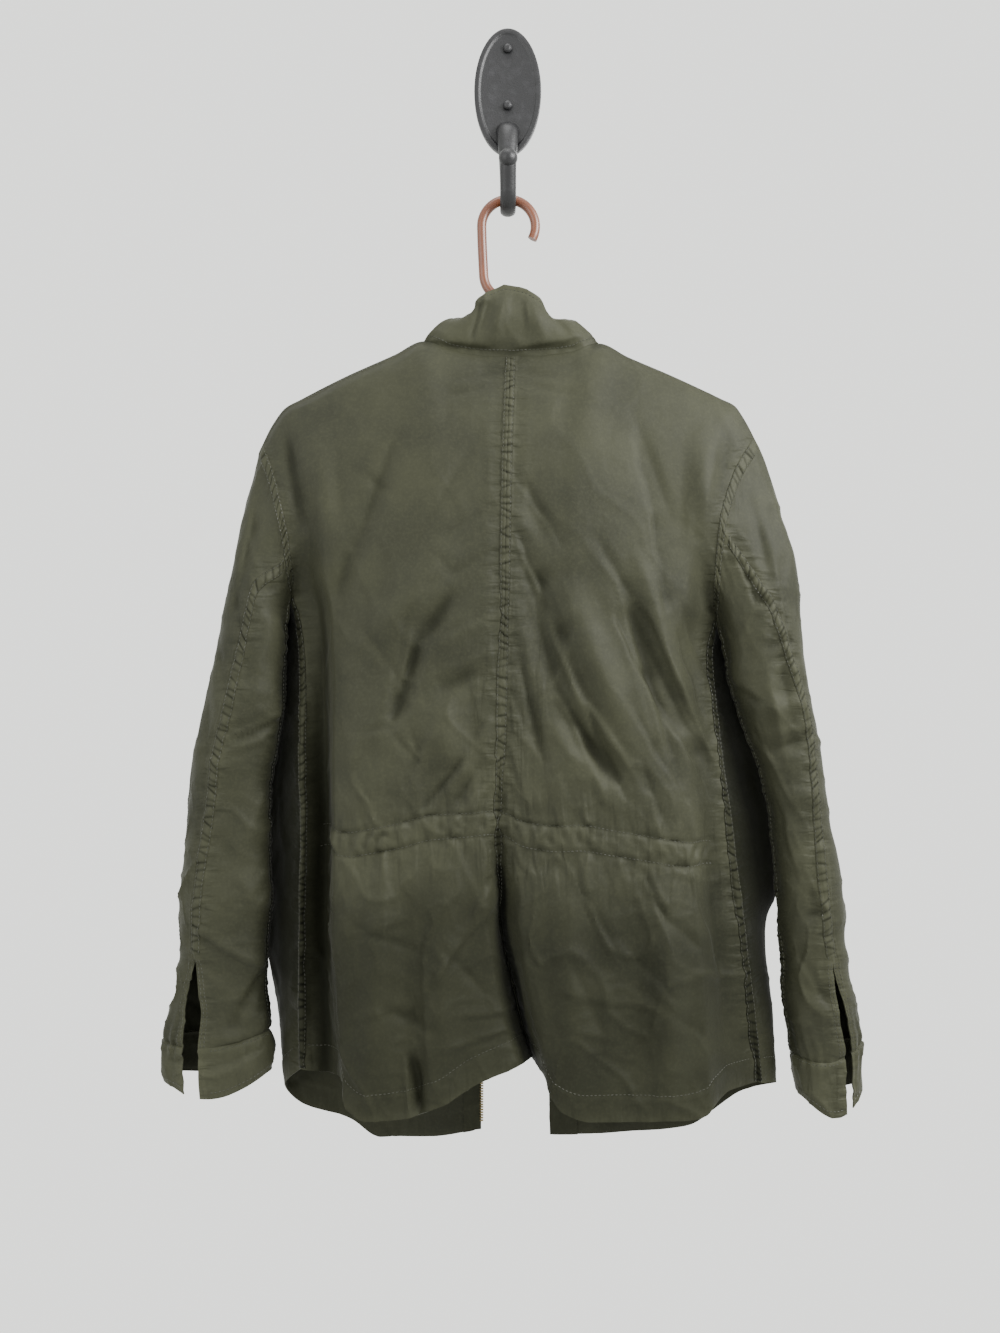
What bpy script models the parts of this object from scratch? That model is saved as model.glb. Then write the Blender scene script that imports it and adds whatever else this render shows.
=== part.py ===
"""Utility jacket on a tubular hanger and a wall hook.

Metres, +Z up. The wall is the plane y = 0 and the garment hangs on the -Y side
of it, with its back towards -Y. Depths in the tables are distances out from
the wall, so a point at depth d has y = -d. Left is the wearer's left, at -X.
"""

import math

import bpy
import numpy as np
from mathutils import Vector
from mathutils.kdtree import KDTree

for old in list(bpy.data.objects):
    bpy.data.objects.remove(old, do_unlink=True)

# Driving sizes
CLOTH = 0.0012
TAPE = 0.0010
SEAM_GAP = 0.0003
LAY_GAP = 0.0004
TUBE_R = 0.0047
HANGER_DEPTH = 0.050
PLATE_W = 0.066
PLATE_T = 0.008

# Vent, on the under and the upper side of its seam: width and columns that give way
VENT_UNDER = {"left": (0.005, 1), "right": (0.004, 1)}
VENT_UPPER = {"left": (0.012, 4), "right": (0.005, 3)}

# Levels up the body, from hem (0) to neck (1). The underarm is level 20.
BODY_V = [
    0, 0.03, 0.065, 0.10, 0.14, 0.18, 0.22, 0.26, 0.29, 0.32, 0.353, 0.384,
    0.415, 0.45, 0.49, 0.53, 0.57, 0.61, 0.65, 0.69, 0.72,
    0.76, 0.80, 0.84, 0.88, 0.92, 0.955, 0.985, 1,
]
UNDERARM = 20
WAIST = (10, 11)

# Columns from the centre (0) to the side (1). The neck point is at 0.36.
SHOULDER_U = [0.36, 0.43, 0.50, 0.57, 0.64, 0.70, 0.76, 0.81, 0.85, 0.89, 0.94, 1]
BACK_U = [0, 0.035, 0.075, 0.12, 0.18, 0.24, 0.30] + SHOULDER_U
FRONT_U = [0, 0.07, 0.14, 0.22, 0.30] + SHOULDER_U

# Seam lines: level, x, z
CENTRE_BACK = [
    (0.00, 0.022, -0.905), (0.13, 0.006, -0.837), (0.26, -0.007, -0.760),
    (0.38, -0.010, -0.674), (0.50, -0.007, -0.601), (0.62, -0.005, -0.523),
    (0.72, -0.003, -0.450), (0.80, -0.002, -0.395), (0.88, -0.001, -0.339),
    (0.95, 0.001, -0.286), (1.00, 0.002, -0.246),
]
SIDE_LEFT = [
    (0.00, -0.194, -0.914), (0.13, -0.194, -0.845), (0.26, -0.193, -0.770),
    (0.38, -0.191, -0.698), (0.50, -0.193, -0.626), (0.62, -0.194, -0.549),
    (0.68, -0.197, -0.505), (0.72, -0.205, -0.473), (0.80, -0.206, -0.435), (0.88, -0.212, -0.397),
    (0.95, -0.222, -0.362), (1.00, -0.235, -0.331),
]
SIDE_RIGHT = [
    (0.00, 0.235, -0.929), (0.13, 0.227, -0.859), (0.26, 0.219, -0.788),
    (0.38, 0.209, -0.711), (0.50, 0.201, -0.639), (0.62, 0.193, -0.568),
    (0.68, 0.190, -0.527), (0.72, 0.197, -0.496), (0.80, 0.195, -0.453), (0.88, 0.198, -0.410),
    (0.95, 0.213, -0.362), (1.00, 0.236, -0.325),
]
FRONT_ARM_LEFT = [
    (0.72, -0.205, -0.473), (0.80, -0.210, -0.431), (0.88, -0.219, -0.390),
    (0.95, -0.228, -0.356), (1.00, -0.235, -0.331),
]
FRONT_ARM_RIGHT = [
    (0.72, 0.197, -0.496), (0.80, 0.203, -0.450), (0.88, 0.210, -0.403),
    (0.95, 0.223, -0.356), (1.00, 0.236, -0.325),
]
CENTRE_FRONT_LEFT = [(0.00, -0.026, -0.988), (0.50, -0.024, -0.650), (1.00, -0.019, -0.319)]
CENTRE_FRONT_RIGHT = [(0.00, 0.041, -0.993), (0.50, 0.034, -0.650), (1.00, 0.023, -0.319)]

# Neck and shoulder lines: column, x, z
TOP_LEFT = [
    (0.00, 0.002, -0.246), (0.12, -0.026, -0.245), (0.26, -0.055, -0.239),
    (0.36, -0.080, -0.229), (0.48, -0.108, -0.242), (0.66, -0.155, -0.263),
    (0.84, -0.198, -0.285), (0.90, -0.211, -0.292), (0.95, -0.224, -0.309),
    (1.00, -0.235, -0.331),
]
TOP_RIGHT = [
    (0.00, 0.002, -0.246), (0.12, 0.030, -0.245), (0.26, 0.060, -0.241),
    (0.36, 0.086, -0.231), (0.48, 0.114, -0.244), (0.66, 0.156, -0.262),
    (0.84, 0.203, -0.284), (0.90, 0.215, -0.290), (0.95, 0.225, -0.304),
    (1.00, 0.236, -0.325),
]
FRONT_NECK_LEFT = [(0.00, -0.019, -0.319), (0.18, -0.054, -0.289), (0.36, -0.080, -0.229)]
FRONT_NECK_RIGHT = [(0.00, 0.023, -0.319), (0.18, 0.056, -0.289), (0.36, 0.086, -0.231)]

# Hems: column, x, z
BACK_HEM_LEFT = [
    (0.00, 0.022, -0.905), (0.06, 0.012, -0.900), (0.15, -0.008, -0.906),
    (0.25, -0.026, -0.913), (0.40, -0.061, -0.932), (0.55, -0.092, -0.942),
    (0.72, -0.127, -0.945), (0.80, -0.145, -0.936), (0.86, -0.156, -0.916),
    (0.93, -0.178, -0.916), (1.00, -0.194, -0.914),
]
BACK_HEM_RIGHT = [
    (0.00, 0.022, -0.905), (0.05, 0.032, -0.911), (0.08, 0.038, -0.926),
    (0.14, 0.048, -0.938), (0.27, 0.072, -0.946), (0.55, 0.127, -0.946),
    (0.72, 0.159, -0.946), (0.81, 0.179, -0.943), (0.86, 0.191, -0.935),
    (0.91, 0.206, -0.929), (1.00, 0.235, -0.929),
]
FRONT_HEM_LEFT = [
    (0.00, -0.026, -0.988), (0.20, -0.074, -0.996), (0.45, -0.124, -0.997),
    (0.60, -0.154, -0.978), (0.80, -0.201, -0.960), (0.93, -0.214, -0.937),
    (1.00, -0.194, -0.914),
]
FRONT_HEM_RIGHT = [
    (0.00, 0.041, -0.993), (0.20, 0.080, -0.993), (0.45, 0.134, -0.990),
    (0.60, 0.174, -0.985), (0.80, 0.226, -0.949), (0.93, 0.256, -0.935),
    (1.00, 0.235, -0.929),
]

# Depth out from the wall: first row names the columns, then level and depths
BACK_DEPTH_LEFT = [
    (None, 0.00, 0.04, 0.09, 0.15, 0.30, 0.36, 0.50, 0.70, 0.82, 0.90, 1.00),
    (0.00, 0.062, 0.088, 0.106, 0.110, 0.114, 0.1161, 0.121, 0.121, 0.113, 0.070, 0.070),
    (0.13, 0.066, 0.090, 0.106, 0.109, 0.112, 0.1138, 0.118, 0.118, 0.111, 0.060, 0.070),
    (0.26, 0.076, 0.096, 0.107, 0.108, 0.110, 0.1115, 0.115, 0.115, 0.108, 0.054, 0.072),
    (0.38, 0.092, 0.098, 0.101, 0.103, 0.105, 0.1059, 0.108, 0.107, 0.102, 0.056, 0.072),
    (0.50, 0.100, 0.103, 0.105, 0.106, 0.109, 0.109, 0.109, 0.105, 0.096, 0.054, 0.067),
    (0.62, 0.102, 0.104, 0.106, 0.107, 0.108, 0.1074, 0.106, 0.100, 0.090, 0.057, 0.058),
    (0.72, 0.102, 0.103, 0.105, 0.105, 0.105, 0.1041, 0.102, 0.096, 0.088, 0.068, 0.054),
    (0.80, 0.099, 0.100, 0.101, 0.101, 0.101, 0.1001, 0.098, 0.092, 0.087, 0.080, 0.074),
    (0.88, 0.092, 0.092, 0.093, 0.093, 0.092, 0.0911, 0.089, 0.086, 0.084, 0.082, 0.079),
    (0.95, 0.078, 0.078, 0.079, 0.079, 0.075, 0.0744, 0.073, 0.072, 0.072, 0.071, 0.068),
    (0.985, 0.065, 0.065, 0.065, 0.066, 0.064, 0.062, 0.061, 0.061, 0.061, 0.061, 0.059),
    (1.00, 0.060, 0.060, 0.060, 0.060, 0.0585, 0.050, 0.050, 0.050, 0.050, 0.050, 0.050),
]
BACK_DEPTH_RIGHT = [
    (None, 0.00, 0.04, 0.09, 0.15, 0.30, 0.36, 0.50, 0.70, 0.82, 0.90, 1.00),
    (0.00, 0.062, 0.092, 0.112, 0.118, 0.120, 0.120, 0.120, 0.118, 0.112, 0.088, 0.060),
    (0.13, 0.066, 0.092, 0.110, 0.115, 0.118, 0.118, 0.118, 0.116, 0.110, 0.086, 0.064),
    (0.26, 0.076, 0.096, 0.109, 0.112, 0.114, 0.114, 0.114, 0.112, 0.106, 0.084, 0.068),
    (0.38, 0.092, 0.098, 0.101, 0.103, 0.106, 0.106, 0.106, 0.104, 0.098, 0.082, 0.071),
    (0.50, 0.100, 0.101, 0.102, 0.103, 0.108, 0.1083, 0.109, 0.104, 0.094, 0.080, 0.069),
    (0.62, 0.102, 0.102, 0.103, 0.104, 0.107, 0.1067, 0.106, 0.100, 0.090, 0.076, 0.060),
    (0.72, 0.102, 0.103, 0.104, 0.105, 0.105, 0.1041, 0.102, 0.096, 0.088, 0.072, 0.054),
    (0.80, 0.099, 0.100, 0.101, 0.101, 0.101, 0.1001, 0.098, 0.092, 0.087, 0.081, 0.076),
    (0.88, 0.092, 0.092, 0.093, 0.093, 0.092, 0.0911, 0.089, 0.086, 0.084, 0.083, 0.081),
    (0.95, 0.078, 0.078, 0.079, 0.079, 0.075, 0.0744, 0.073, 0.072, 0.072, 0.071, 0.069),
    (0.985, 0.065, 0.065, 0.065, 0.066, 0.064, 0.062, 0.061, 0.061, 0.061, 0.061, 0.059),
    (1.00, 0.060, 0.060, 0.060, 0.060, 0.0585, 0.050, 0.050, 0.050, 0.050, 0.050, 0.050),
]
FRONT_DEPTH = [
    (None, 0.00, 0.18, 0.30, 0.36, 0.50, 0.70, 0.85, 0.93, 1.00),
    (0.00, 0.020, 0.018, 0.0167, 0.016, 0.018, 0.021, 0.030, 0.044, 0.065),
    (0.20, 0.021, 0.019, 0.0177, 0.017, 0.017, 0.018, 0.020, 0.036, 0.068),
    (0.38, 0.022, 0.020, 0.0181, 0.017, 0.016, 0.017, 0.018, 0.034, 0.071),
    (0.50, 0.021, 0.019, 0.0177, 0.017, 0.016, 0.017, 0.018, 0.033, 0.068),
    (0.62, 0.021, 0.019, 0.0177, 0.017, 0.016, 0.017, 0.018, 0.031, 0.059),
    (0.72, 0.021, 0.019, 0.0177, 0.017, 0.017, 0.018, 0.023, 0.031, 0.054),
    (0.80, 0.022, 0.020, 0.0187, 0.018, 0.018, 0.019, 0.022, 0.025, 0.030),
    (0.88, 0.024, 0.022, 0.0214, 0.021, 0.021, 0.021, 0.022, 0.022, 0.022),
    (0.95, 0.027, 0.027, 0.028, 0.029, 0.030, 0.030, 0.030, 0.029, 0.028),
    (0.985, 0.029, 0.030, 0.034, 0.040, 0.041, 0.041, 0.041, 0.041, 0.040),
    (1.00, 0.030, 0.032, 0.037, 0.050, 0.050, 0.050, 0.050, 0.050, 0.050),
]

# How far the fronts spread out behind the sleeves, by level, and each column's share
FRONT_REACH_LEFT = [
    (0.00, 0), (0.13, 0.024), (0.26, 0.0445), (0.38, 0.054), (0.50, 0.058),
    (0.62, 0.038), (0.68, 0.012), (0.72, 0), (1.00, 0),
]
FRONT_REACH_RIGHT = [
    (0.00, 0), (0.13, 0.024), (0.20, 0.028), (0.26, 0.036), (0.32, 0.0560),
    (0.38, 0.0620), (0.50, 0.058), (0.62, 0.036), (0.68, 0.012), (0.72, 0), (1.00, 0),
]
FRONT_SHARE = [
    (0.00, 0), (0.18, 0.04), (0.30, 0.12), (0.36, 0.17), (0.50, 0.33), (0.70, 0.72),
    (0.85, 1.00), (0.93, 0.50), (1.00, 0),
]

# Folds on the back: name, x and z at each end, half width, height out
FOLDS_LEFT = [
    ("shoulder crease", -0.208, -0.318, -0.194, -0.401, 0.014, -0.0050),
    ("shoulder ridge", -0.178, -0.330, -0.166, -0.438, 0.022, 0.0040),
    ("blade crease", -0.103, -0.330, -0.144, -0.432, 0.018, -0.0030),
    ("blade crease low", -0.144, -0.432, -0.159, -0.480, 0.016, -0.0040),
    ("long fold", -0.052, -0.475, -0.082, -0.517, 0.015, -0.0050),
    ("long fold mid", -0.082, -0.517, -0.092, -0.549, 0.015, -0.0060),
    ("long fold low", -0.092, -0.549, -0.106, -0.590, 0.015, -0.0060),
    ("long fold end", -0.106, -0.590, -0.078, -0.619, 0.014, -0.0040),
    ("swell above fold", -0.062, -0.441, -0.122, -0.514, 0.030, 0.0050),
    ("swell under fold", -0.062, -0.569, -0.053, -0.632, 0.030, 0.0050),
    ("seam dent", -0.069, -0.563, -0.025, -0.540, 0.018, -0.0040),
    ("skirt ridge", -0.116, -0.731, -0.123, -0.920, 0.022, 0.0060),
    ("skirt valley", -0.093, -0.753, -0.087, -0.929, 0.016, -0.0070),
    ("skirt swell", -0.057, -0.731, -0.062, -0.911, 0.024, 0.0060),
]
FOLDS_RIGHT = [
    ("shoulder crease", 0.206, -0.318, 0.198, -0.370, 0.014, -0.0050),
    ("shoulder ridge", 0.184, -0.330, 0.179, -0.420, 0.022, 0.0040),
    ("neck diagonal", 0.120, -0.330, 0.138, -0.368, 0.018, -0.0030),
    ("upper diagonal", 0.012, -0.380, 0.038, -0.423, 0.016, -0.0030),
    ("wide valley top", 0.015, -0.450, 0.051, -0.580, 0.022, -0.0060),
    ("wide valley low", 0.051, -0.580, 0.102, -0.644, 0.022, -0.0080),
    ("swell beside valley", 0.056, -0.477, 0.104, -0.596, 0.026, 0.0060),
    ("side diagonal", 0.105, -0.467, 0.156, -0.637, 0.016, -0.0050),
    ("side diagonal outer", 0.114, -0.491, 0.184, -0.632, 0.016, -0.0050),
    ("ridge between", 0.120, -0.441, 0.175, -0.605, 0.015, 0.0040),
    ("skirt swell inner", 0.050, -0.740, 0.062, -0.920, 0.026, 0.0050),
    ("skirt valley", 0.103, -0.731, 0.099, -0.929, 0.022, -0.0070),
    ("skirt swell", 0.141, -0.731, 0.144, -0.925, 0.026, 0.0060),
]

# Sleeves: level down, outer edge x z, inner edge x z, centre depth, half depth
SLEEVE_LEFT = [
    (0.00, -0.235, -0.331, -0.205, -0.473, 0.052, 0.030),
    (0.04, -0.244, -0.366, -0.2090, -0.487, 0.052, 0.032),
    (0.08, -0.252, -0.399, -0.2115, -0.502, 0.052, 0.033),
    (0.13, -0.258, -0.437, -0.212, -0.520, 0.052, 0.034),
    (0.18, -0.266, -0.475, -0.213, -0.543, 0.052, 0.034),
    (0.25, -0.275, -0.522, -0.214, -0.574, 0.052, 0.033),
    (0.33, -0.287, -0.574, -0.219, -0.612, 0.052, 0.031),
    (0.41, -0.297, -0.622, -0.225, -0.655, 0.051, 0.031),
    (0.49, -0.304, -0.669, -0.225, -0.697, 0.051, 0.031),
    (0.58, -0.309, -0.716, -0.227, -0.735, 0.050, 0.030),
    (0.67, -0.313, -0.764, -0.227, -0.773, 0.050, 0.030),
    (0.76, -0.313, -0.806, -0.228, -0.806, 0.050, 0.029),
    (0.86, -0.314, -0.840, -0.229, -0.836, 0.050, 0.029),
    (0.94, -0.321, -0.866, -0.226, -0.860, 0.050, 0.028),
    (1.00, -0.327, -0.890, -0.225, -0.882, 0.050, 0.028),
    (1.04, -0.327, -0.904, -0.223, -0.897, 0.050, 0.029),
    (1.10, -0.322, -0.926, -0.228, -0.919, 0.050, 0.030),
]
SLEEVE_RIGHT = [
    (0.00, 0.236, -0.325, 0.197, -0.496, 0.052, 0.030),
    (0.04, 0.251, -0.362, 0.2035, -0.512, 0.052, 0.032),
    (0.08, 0.260, -0.395, 0.2075, -0.529, 0.052, 0.033),
    (0.13, 0.271, -0.437, 0.211, -0.551, 0.052, 0.034),
    (0.18, 0.276, -0.475, 0.217, -0.572, 0.052, 0.034),
    (0.25, 0.280, -0.522, 0.225, -0.598, 0.052, 0.033),
    (0.33, 0.288, -0.574, 0.238, -0.631, 0.052, 0.031),
    (0.41, 0.296, -0.622, 0.245, -0.664, 0.051, 0.031),
    (0.49, 0.304, -0.669, 0.249, -0.702, 0.051, 0.031),
    (0.58, 0.311, -0.716, 0.254, -0.740, 0.050, 0.030),
    (0.67, 0.318, -0.764, 0.258, -0.778, 0.050, 0.030),
    (0.76, 0.322, -0.806, 0.261, -0.814, 0.050, 0.029),
    (0.86, 0.327, -0.846, 0.264, -0.854, 0.050, 0.028),
    (0.94, 0.332, -0.872, 0.268, -0.883, 0.050, 0.027),
    (1.00, 0.336, -0.892, 0.271, -0.905, 0.050, 0.027),
    (1.04, 0.336, -0.910, 0.272, -0.918, 0.050, 0.027),
    (1.10, 0.336, -0.937, 0.275, -0.938, 0.050, 0.027),
]
SLEEVE_V = [
    0, 0.035, 0.07, 0.11, 0.15, 0.19, 0.23, 0.27, 0.31, 0.34, 0.37, 0.40, 0.44,
    0.48, 0.53, 0.58, 0.63, 0.68, 0.73, 0.77, 0.82, 0.88, 0.94, 1.00,
]
CUFF_V = [1.00, 1.035, 1.07, 1.10]

# Where the back seam runs across the sleeve, outer edge 0 to inner edge 1
SLEEVE_SEAM_LEFT = [
    (0.00, 0.74), (0.055, 0.52), (0.21, 0.42), (0.255, 0.39), (0.32, 0.38),
    (0.36, 0.35), (0.48, 0.33), (0.67, 0.27), (0.76, 0.25), (0.86, 0.26),
    (0.94, 0.32), (1.00, 0.34), (1.10, 0.34),
]
SLEEVE_SEAM_RIGHT = [
    (0.00, 0.49), (0.08, 0.48), (0.13, 0.43), (0.215, 0.32), (0.28, 0.23),
    (0.33, 0.21), (0.45, 0.28), (0.58, 0.36), (0.67, 0.38), (0.80, 0.32),
    (1.00, 0.28), (1.10, 0.28),
]
SEAM_COLUMN = {"left": 6, "right": 4}

# How far the cuff's edge sags at the middle of its back and front
CUFF_SAG = {"left": (0.016, 0.010), "right": (0.020, 0.012)}

# Folds on the sleeves, in the same columns as the folds on the back
SLEEVE_FOLDS_LEFT = [
    ("elbow crease", -0.263, -0.599, -0.201, -0.580, 0.014, -0.0080),
    ("elbow roll", -0.268, -0.569, -0.205, -0.558, 0.018, 0.0045),
    ("under elbow", -0.282, -0.634, -0.229, -0.623, 0.018, 0.0040),
    ("outer crease", -0.277, -0.560, -0.282, -0.649, 0.014, -0.0030),
    ("forearm valley", -0.254, -0.662, -0.261, -0.755, 0.016, -0.0035),
    ("wrist crease", -0.301, -0.811, -0.236, -0.834, 0.016, -0.0040),
]
SLEEVE_FOLDS_RIGHT = [
    ("elbow crease", 0.285, -0.602, 0.236, -0.618, 0.014, -0.0070),
    ("elbow roll", 0.283, -0.569, 0.227, -0.583, 0.018, 0.0045),
    ("under elbow", 0.295, -0.653, 0.248, -0.662, 0.016, 0.0040),
    ("forearm valley", 0.281, -0.690, 0.283, -0.783, 0.016, -0.0035),
    ("wrist crease", 0.313, -0.848, 0.264, -0.834, 0.016, -0.0040),
]

# Collar, as steps from the neck seam: share of the height, then at five places
# from centre back (0) to centre front (1) the step in x towards the side, depth, z
COLLAR_PLACES = [0.00, 0.25, 0.50, 0.75, 1.00]
COLLAR_STEPS = [
    (0.00, (0, 0, 0), (0, 0, 0), (0, 0, 0), (0, 0, 0), (0, 0, 0)),
    (0.25, (0.001, 0.006, 0.017), (-0.004, 0.005, 0.014), (-0.008, 0.003, 0.009),
     (-0.005, -0.006, 0.016), (0.001, -0.008, 0.016)),
    (0.50, (0.002, 0.008, 0.035), (-0.008, 0.006, 0.028), (-0.016, 0.003, 0.016),
     (-0.009, -0.006, 0.033), (0.001, -0.009, 0.032)),
    (0.75, (0.004, 0.006, 0.051), (-0.011, 0.004, 0.042), (-0.024, 0.001, 0.021),
     (-0.014, -0.003, 0.048), (0.001, -0.008, 0.047)),
    (1.00, (0.006, 0.003, 0.067), (-0.013, 0.002, 0.053), (-0.032, -0.003, 0.024),
     (-0.018, 0.001, 0.056), (0.001, -0.005, 0.061)),
]
COLLAR_W = [0, 0.16, 0.34, 0.52, 0.70, 0.86, 1]


def smooth(rows, t):
    """Monotone cubic through a table whose first column is the parameter."""
    table = np.array(rows, float)
    xs = table[:, 0]
    ys = table[:, 1:]
    step = np.diff(xs)[:, None]
    slope = np.diff(ys, axis=0) / step
    tangent = np.zeros_like(ys)
    tangent[0] = slope[0]
    tangent[-1] = slope[-1]
    before = slope[:-1]
    after = slope[1:]
    agree = before * after > 0
    total = np.where(agree, before + after, 1.0)
    tangent[1:-1] = np.where(agree, 2 * before * after / total, 0.0)
    t = np.atleast_1d(np.array(t, float))
    i = np.clip(np.searchsorted(xs, t, side="right") - 1, 0, len(xs) - 2)
    h = step[i]
    f = ((t - xs[i]) / step[i, 0])[:, None]
    rise = ys[i + 1] - ys[i]
    start = tangent[i] * h
    end = tangent[i + 1] * h
    a = start + end - 2 * rise
    b = 3 * rise - 2 * start - end
    return ys[i] + f * (start + f * (b + f * a))


def depth_grid(table, levels, columns):
    """Depths at every level and column of a panel, from its table of sections."""
    heads = table[0][1:]
    rows = []
    for row in table[1:]:
        section = list(zip(heads, row[1:]))
        rows.append((row[0], *smooth(section, columns)[:, 0]))
    return smooth(rows, levels)


def relief(x, z, folds):
    """Height that a table of folds adds at points given by their x and z."""
    total = np.zeros_like(x)
    for _, x0, z0, x1, z1, half, height in folds:
        dx = x1 - x0
        dz = z1 - z0
        along = ((x - x0) * dx + (z - z0) * dz) / (dx * dx + dz * dz)
        held = np.clip(along, 0, 1)
        away = np.hypot(x - x0 - held * dx, z - z0 - held * dz) / half
        bump = np.where(away < 1, 0.5 + 0.5 * np.cos(np.pi * np.clip(away, 0, 1)), 0)
        fade = np.sqrt(np.sin(np.pi * (0.08 + 0.84 * held)))
        total = total + height * bump * fade
    return total


def panel(centre, side, hem, top, depths, levels, columns, hem_power):
    """Grid of points between four edge curves, with depths from the sections."""
    levels = np.array(levels, float)
    columns = np.array(columns, float)
    inner = smooth(centre, levels)[:, None, :]
    outer = smooth(side, levels)[:, None, :]
    u = columns[None, :, None]
    v = levels[:, None, None]
    flat = (1 - u) * inner + u * outer
    low = smooth(hem, columns)[None, :, :]
    high = smooth(top, columns)[None, :, :]
    low_line = (1 - u) * low[:, :1] + u * low[:, -1:]
    high_line = (1 - u) * high[:, :1] + u * high[:, -1:]
    flat = flat + (1 - v) ** hem_power * (low - low_line) + v ** 1.5 * (high - high_line)
    depth = depth_grid(depths, levels, columns)
    return np.stack([flat[..., 0], -depth, flat[..., 1]], axis=2)


def spread(grid, reach, levels, columns, hand):
    """Draw the outer columns of a front out sideways, as far as each level reaches."""
    amount = smooth(reach, levels)[:, 0][:, None]
    share = smooth(FRONT_SHARE, columns)[:, 0][None, :]
    grid[..., 0] += hand * amount * share
    return grid


def add_relief(grid, folds, share):
    """Push a grid out from the wall by its folds, less near its fixed edges."""
    grid[..., 1] -= relief(grid[..., 0], grid[..., 2], folds) * share
    return grid


def edge_fade(levels, columns):
    """One inside a back panel, falling to nothing at its seams."""
    v = np.array(levels, float)[:, None]
    u = np.array(columns, float)[None, :]
    side = np.clip((1 - u) / 0.08, 0, 1)
    middle = np.clip(u / 0.06, 0, 1)
    top = np.clip((1 - v) / 0.06, 0, 1)
    return side * middle * top


def armhole(back, front):
    """Ring of points from the shoulder down the back edge and up the front edge."""
    down = back[UNDERARM:, -1][::-1]
    up = front[UNDERARM:, -1]
    return np.concatenate([down, up[1:-1]])


def sleeve(side, ring, table, seam_table, folds, levels):
    """Rings down a sleeve, each with as many points as the armhole."""
    half = len(ring) // 2
    joint = SEAM_COLUMN[side]
    table = smooth(table, levels)
    seams = smooth(seam_table, levels)[:, 0]
    count = len(ring)
    first = ring[0]
    axis = ring[half] - first
    axis[1] = 0
    length = np.linalg.norm(axis)
    axis = axis / length
    cross = np.array([-axis[2], 0, axis[0]])
    share = ((ring - first) @ axis) / length
    bend = (ring - first) @ cross
    ring_depth = -ring[:, 1]
    rows = []
    for level, row, seam in zip(levels, table, seams):
        outer = np.array([row[0], 0, row[1]])
        inner = np.array([row[2], 0, row[3]])
        along = inner - outer
        unit = along / np.linalg.norm(along)
        side_way = np.array([-unit[2], 0, unit[0]])
        turn = math.acos(1 - 2 * seam)
        blend = min(level / 0.13, 1.0)
        blend = blend * blend * (3 - 2 * blend)
        sag = max(0.0, (level - 0.94) / 0.16)
        points = []
        for j in range(count):
            k = j if j <= half else count - j
            back = j <= half
            if not back:
                angle = math.pi * k / half
            elif k <= joint:
                angle = turn * k / joint
            else:
                angle = turn + (math.pi - turn) * (k - joint) / (half - joint)
            s = 0.5 - 0.5 * math.cos(angle)
            out = math.sin(angle) ** 0.8 * row[5] if 0 < k < half else 0.0
            depth = row[4] + (out if back else -out)
            s = share[j] * (1 - blend) + s * blend
            depth = ring_depth[j] * (1 - blend) + depth * blend
            place = outer + along * s + side_way * bend[j] * (1 - blend)
            hang = CUFF_SAG[side][0 if back else 1] * sag * math.sin(math.pi * min(1, max(0, s)))
            points.append((place[0], -depth, place[2] - hang))
        rows.append(points)
    grid = np.array(rows)
    grid[0] = ring
    rise = relief(grid[..., 0], grid[..., 2], folds)
    j = np.arange(count)
    facing = np.where((j > 0) & (j < half), np.sin(np.pi * j / half), 0.0)
    hidden = np.where(j > half, 0.6 * np.sin(np.pi * (j - half) / half), 0.0)
    settle = np.clip(np.array(levels) / 0.06, 0, 1)[:, None]
    grid[..., 1] -= rise * facing[None, :] * settle
    grid[..., 1] += rise * hidden[None, :] * settle
    return grid


def open_vent(strip, levels, edge, width, cells):
    """Draw one edge of a sleeve piece back from the seam, to make the vent.

    The columns beside the edge close up evenly, so none passes its neighbour.
    """
    step = 1 if edge == 0 else -1
    columns = [edge + step * k for k in range(cells + 1)]
    for i, level in enumerate(levels):
        amount = width * min(1.0, max(0.0, (level - 0.77) / 0.14))
        if amount <= 0:
            continue
        path = strip[i, columns].copy()
        run = np.concatenate([[0], np.cumsum(np.linalg.norm(np.diff(path, axis=0), axis=1))])
        moved = amount + run * (1 - amount / run[-1])
        for n, column in enumerate(columns):
            strip[i, column] = [np.interp(moved[n], run, path[:, k]) for k in range(3)]
    return strip


def triangles(rows, columns, flip):
    """Two triangles in every cell of a grid, always split the same way."""
    faces = []
    for i in range(rows - 1):
        for j in range(columns - 1):
            a = i * columns + j
            b = a + 1
            c = a + columns + 1
            d = a + columns
            if flip:
                faces.append((a, c, b))
                faces.append((a, d, c))
            else:
                faces.append((a, b, c))
                faces.append((a, c, d))
    return faces


def rim_loop(rows, columns, flip):
    """Grid indices once round the edge, in the order of the faces."""
    loop = [j for j in range(columns)]
    loop += [i * columns + columns - 1 for i in range(1, rows)]
    loop += [(rows - 1) * columns + j for j in range(columns - 2, -1, -1)]
    loop += [i * columns for i in range(rows - 2, 0, -1)]
    return loop[::-1] if flip else loop


def own_normals(grid, flip):
    """Normals of one piece taken alone."""
    rows, columns, _ = grid.shape
    points = grid.reshape(-1, 3)
    faces = np.array(triangles(rows, columns, flip))
    corner = points[faces]
    normal = np.cross(corner[:, 1] - corner[:, 0], corner[:, 2] - corner[:, 0])
    total = np.zeros_like(points)
    for k in range(3):
        np.add.at(total, faces[:, k], normal)
    total /= np.linalg.norm(total, axis=1)[:, None]
    return total.reshape(rows, columns, 3)


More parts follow.
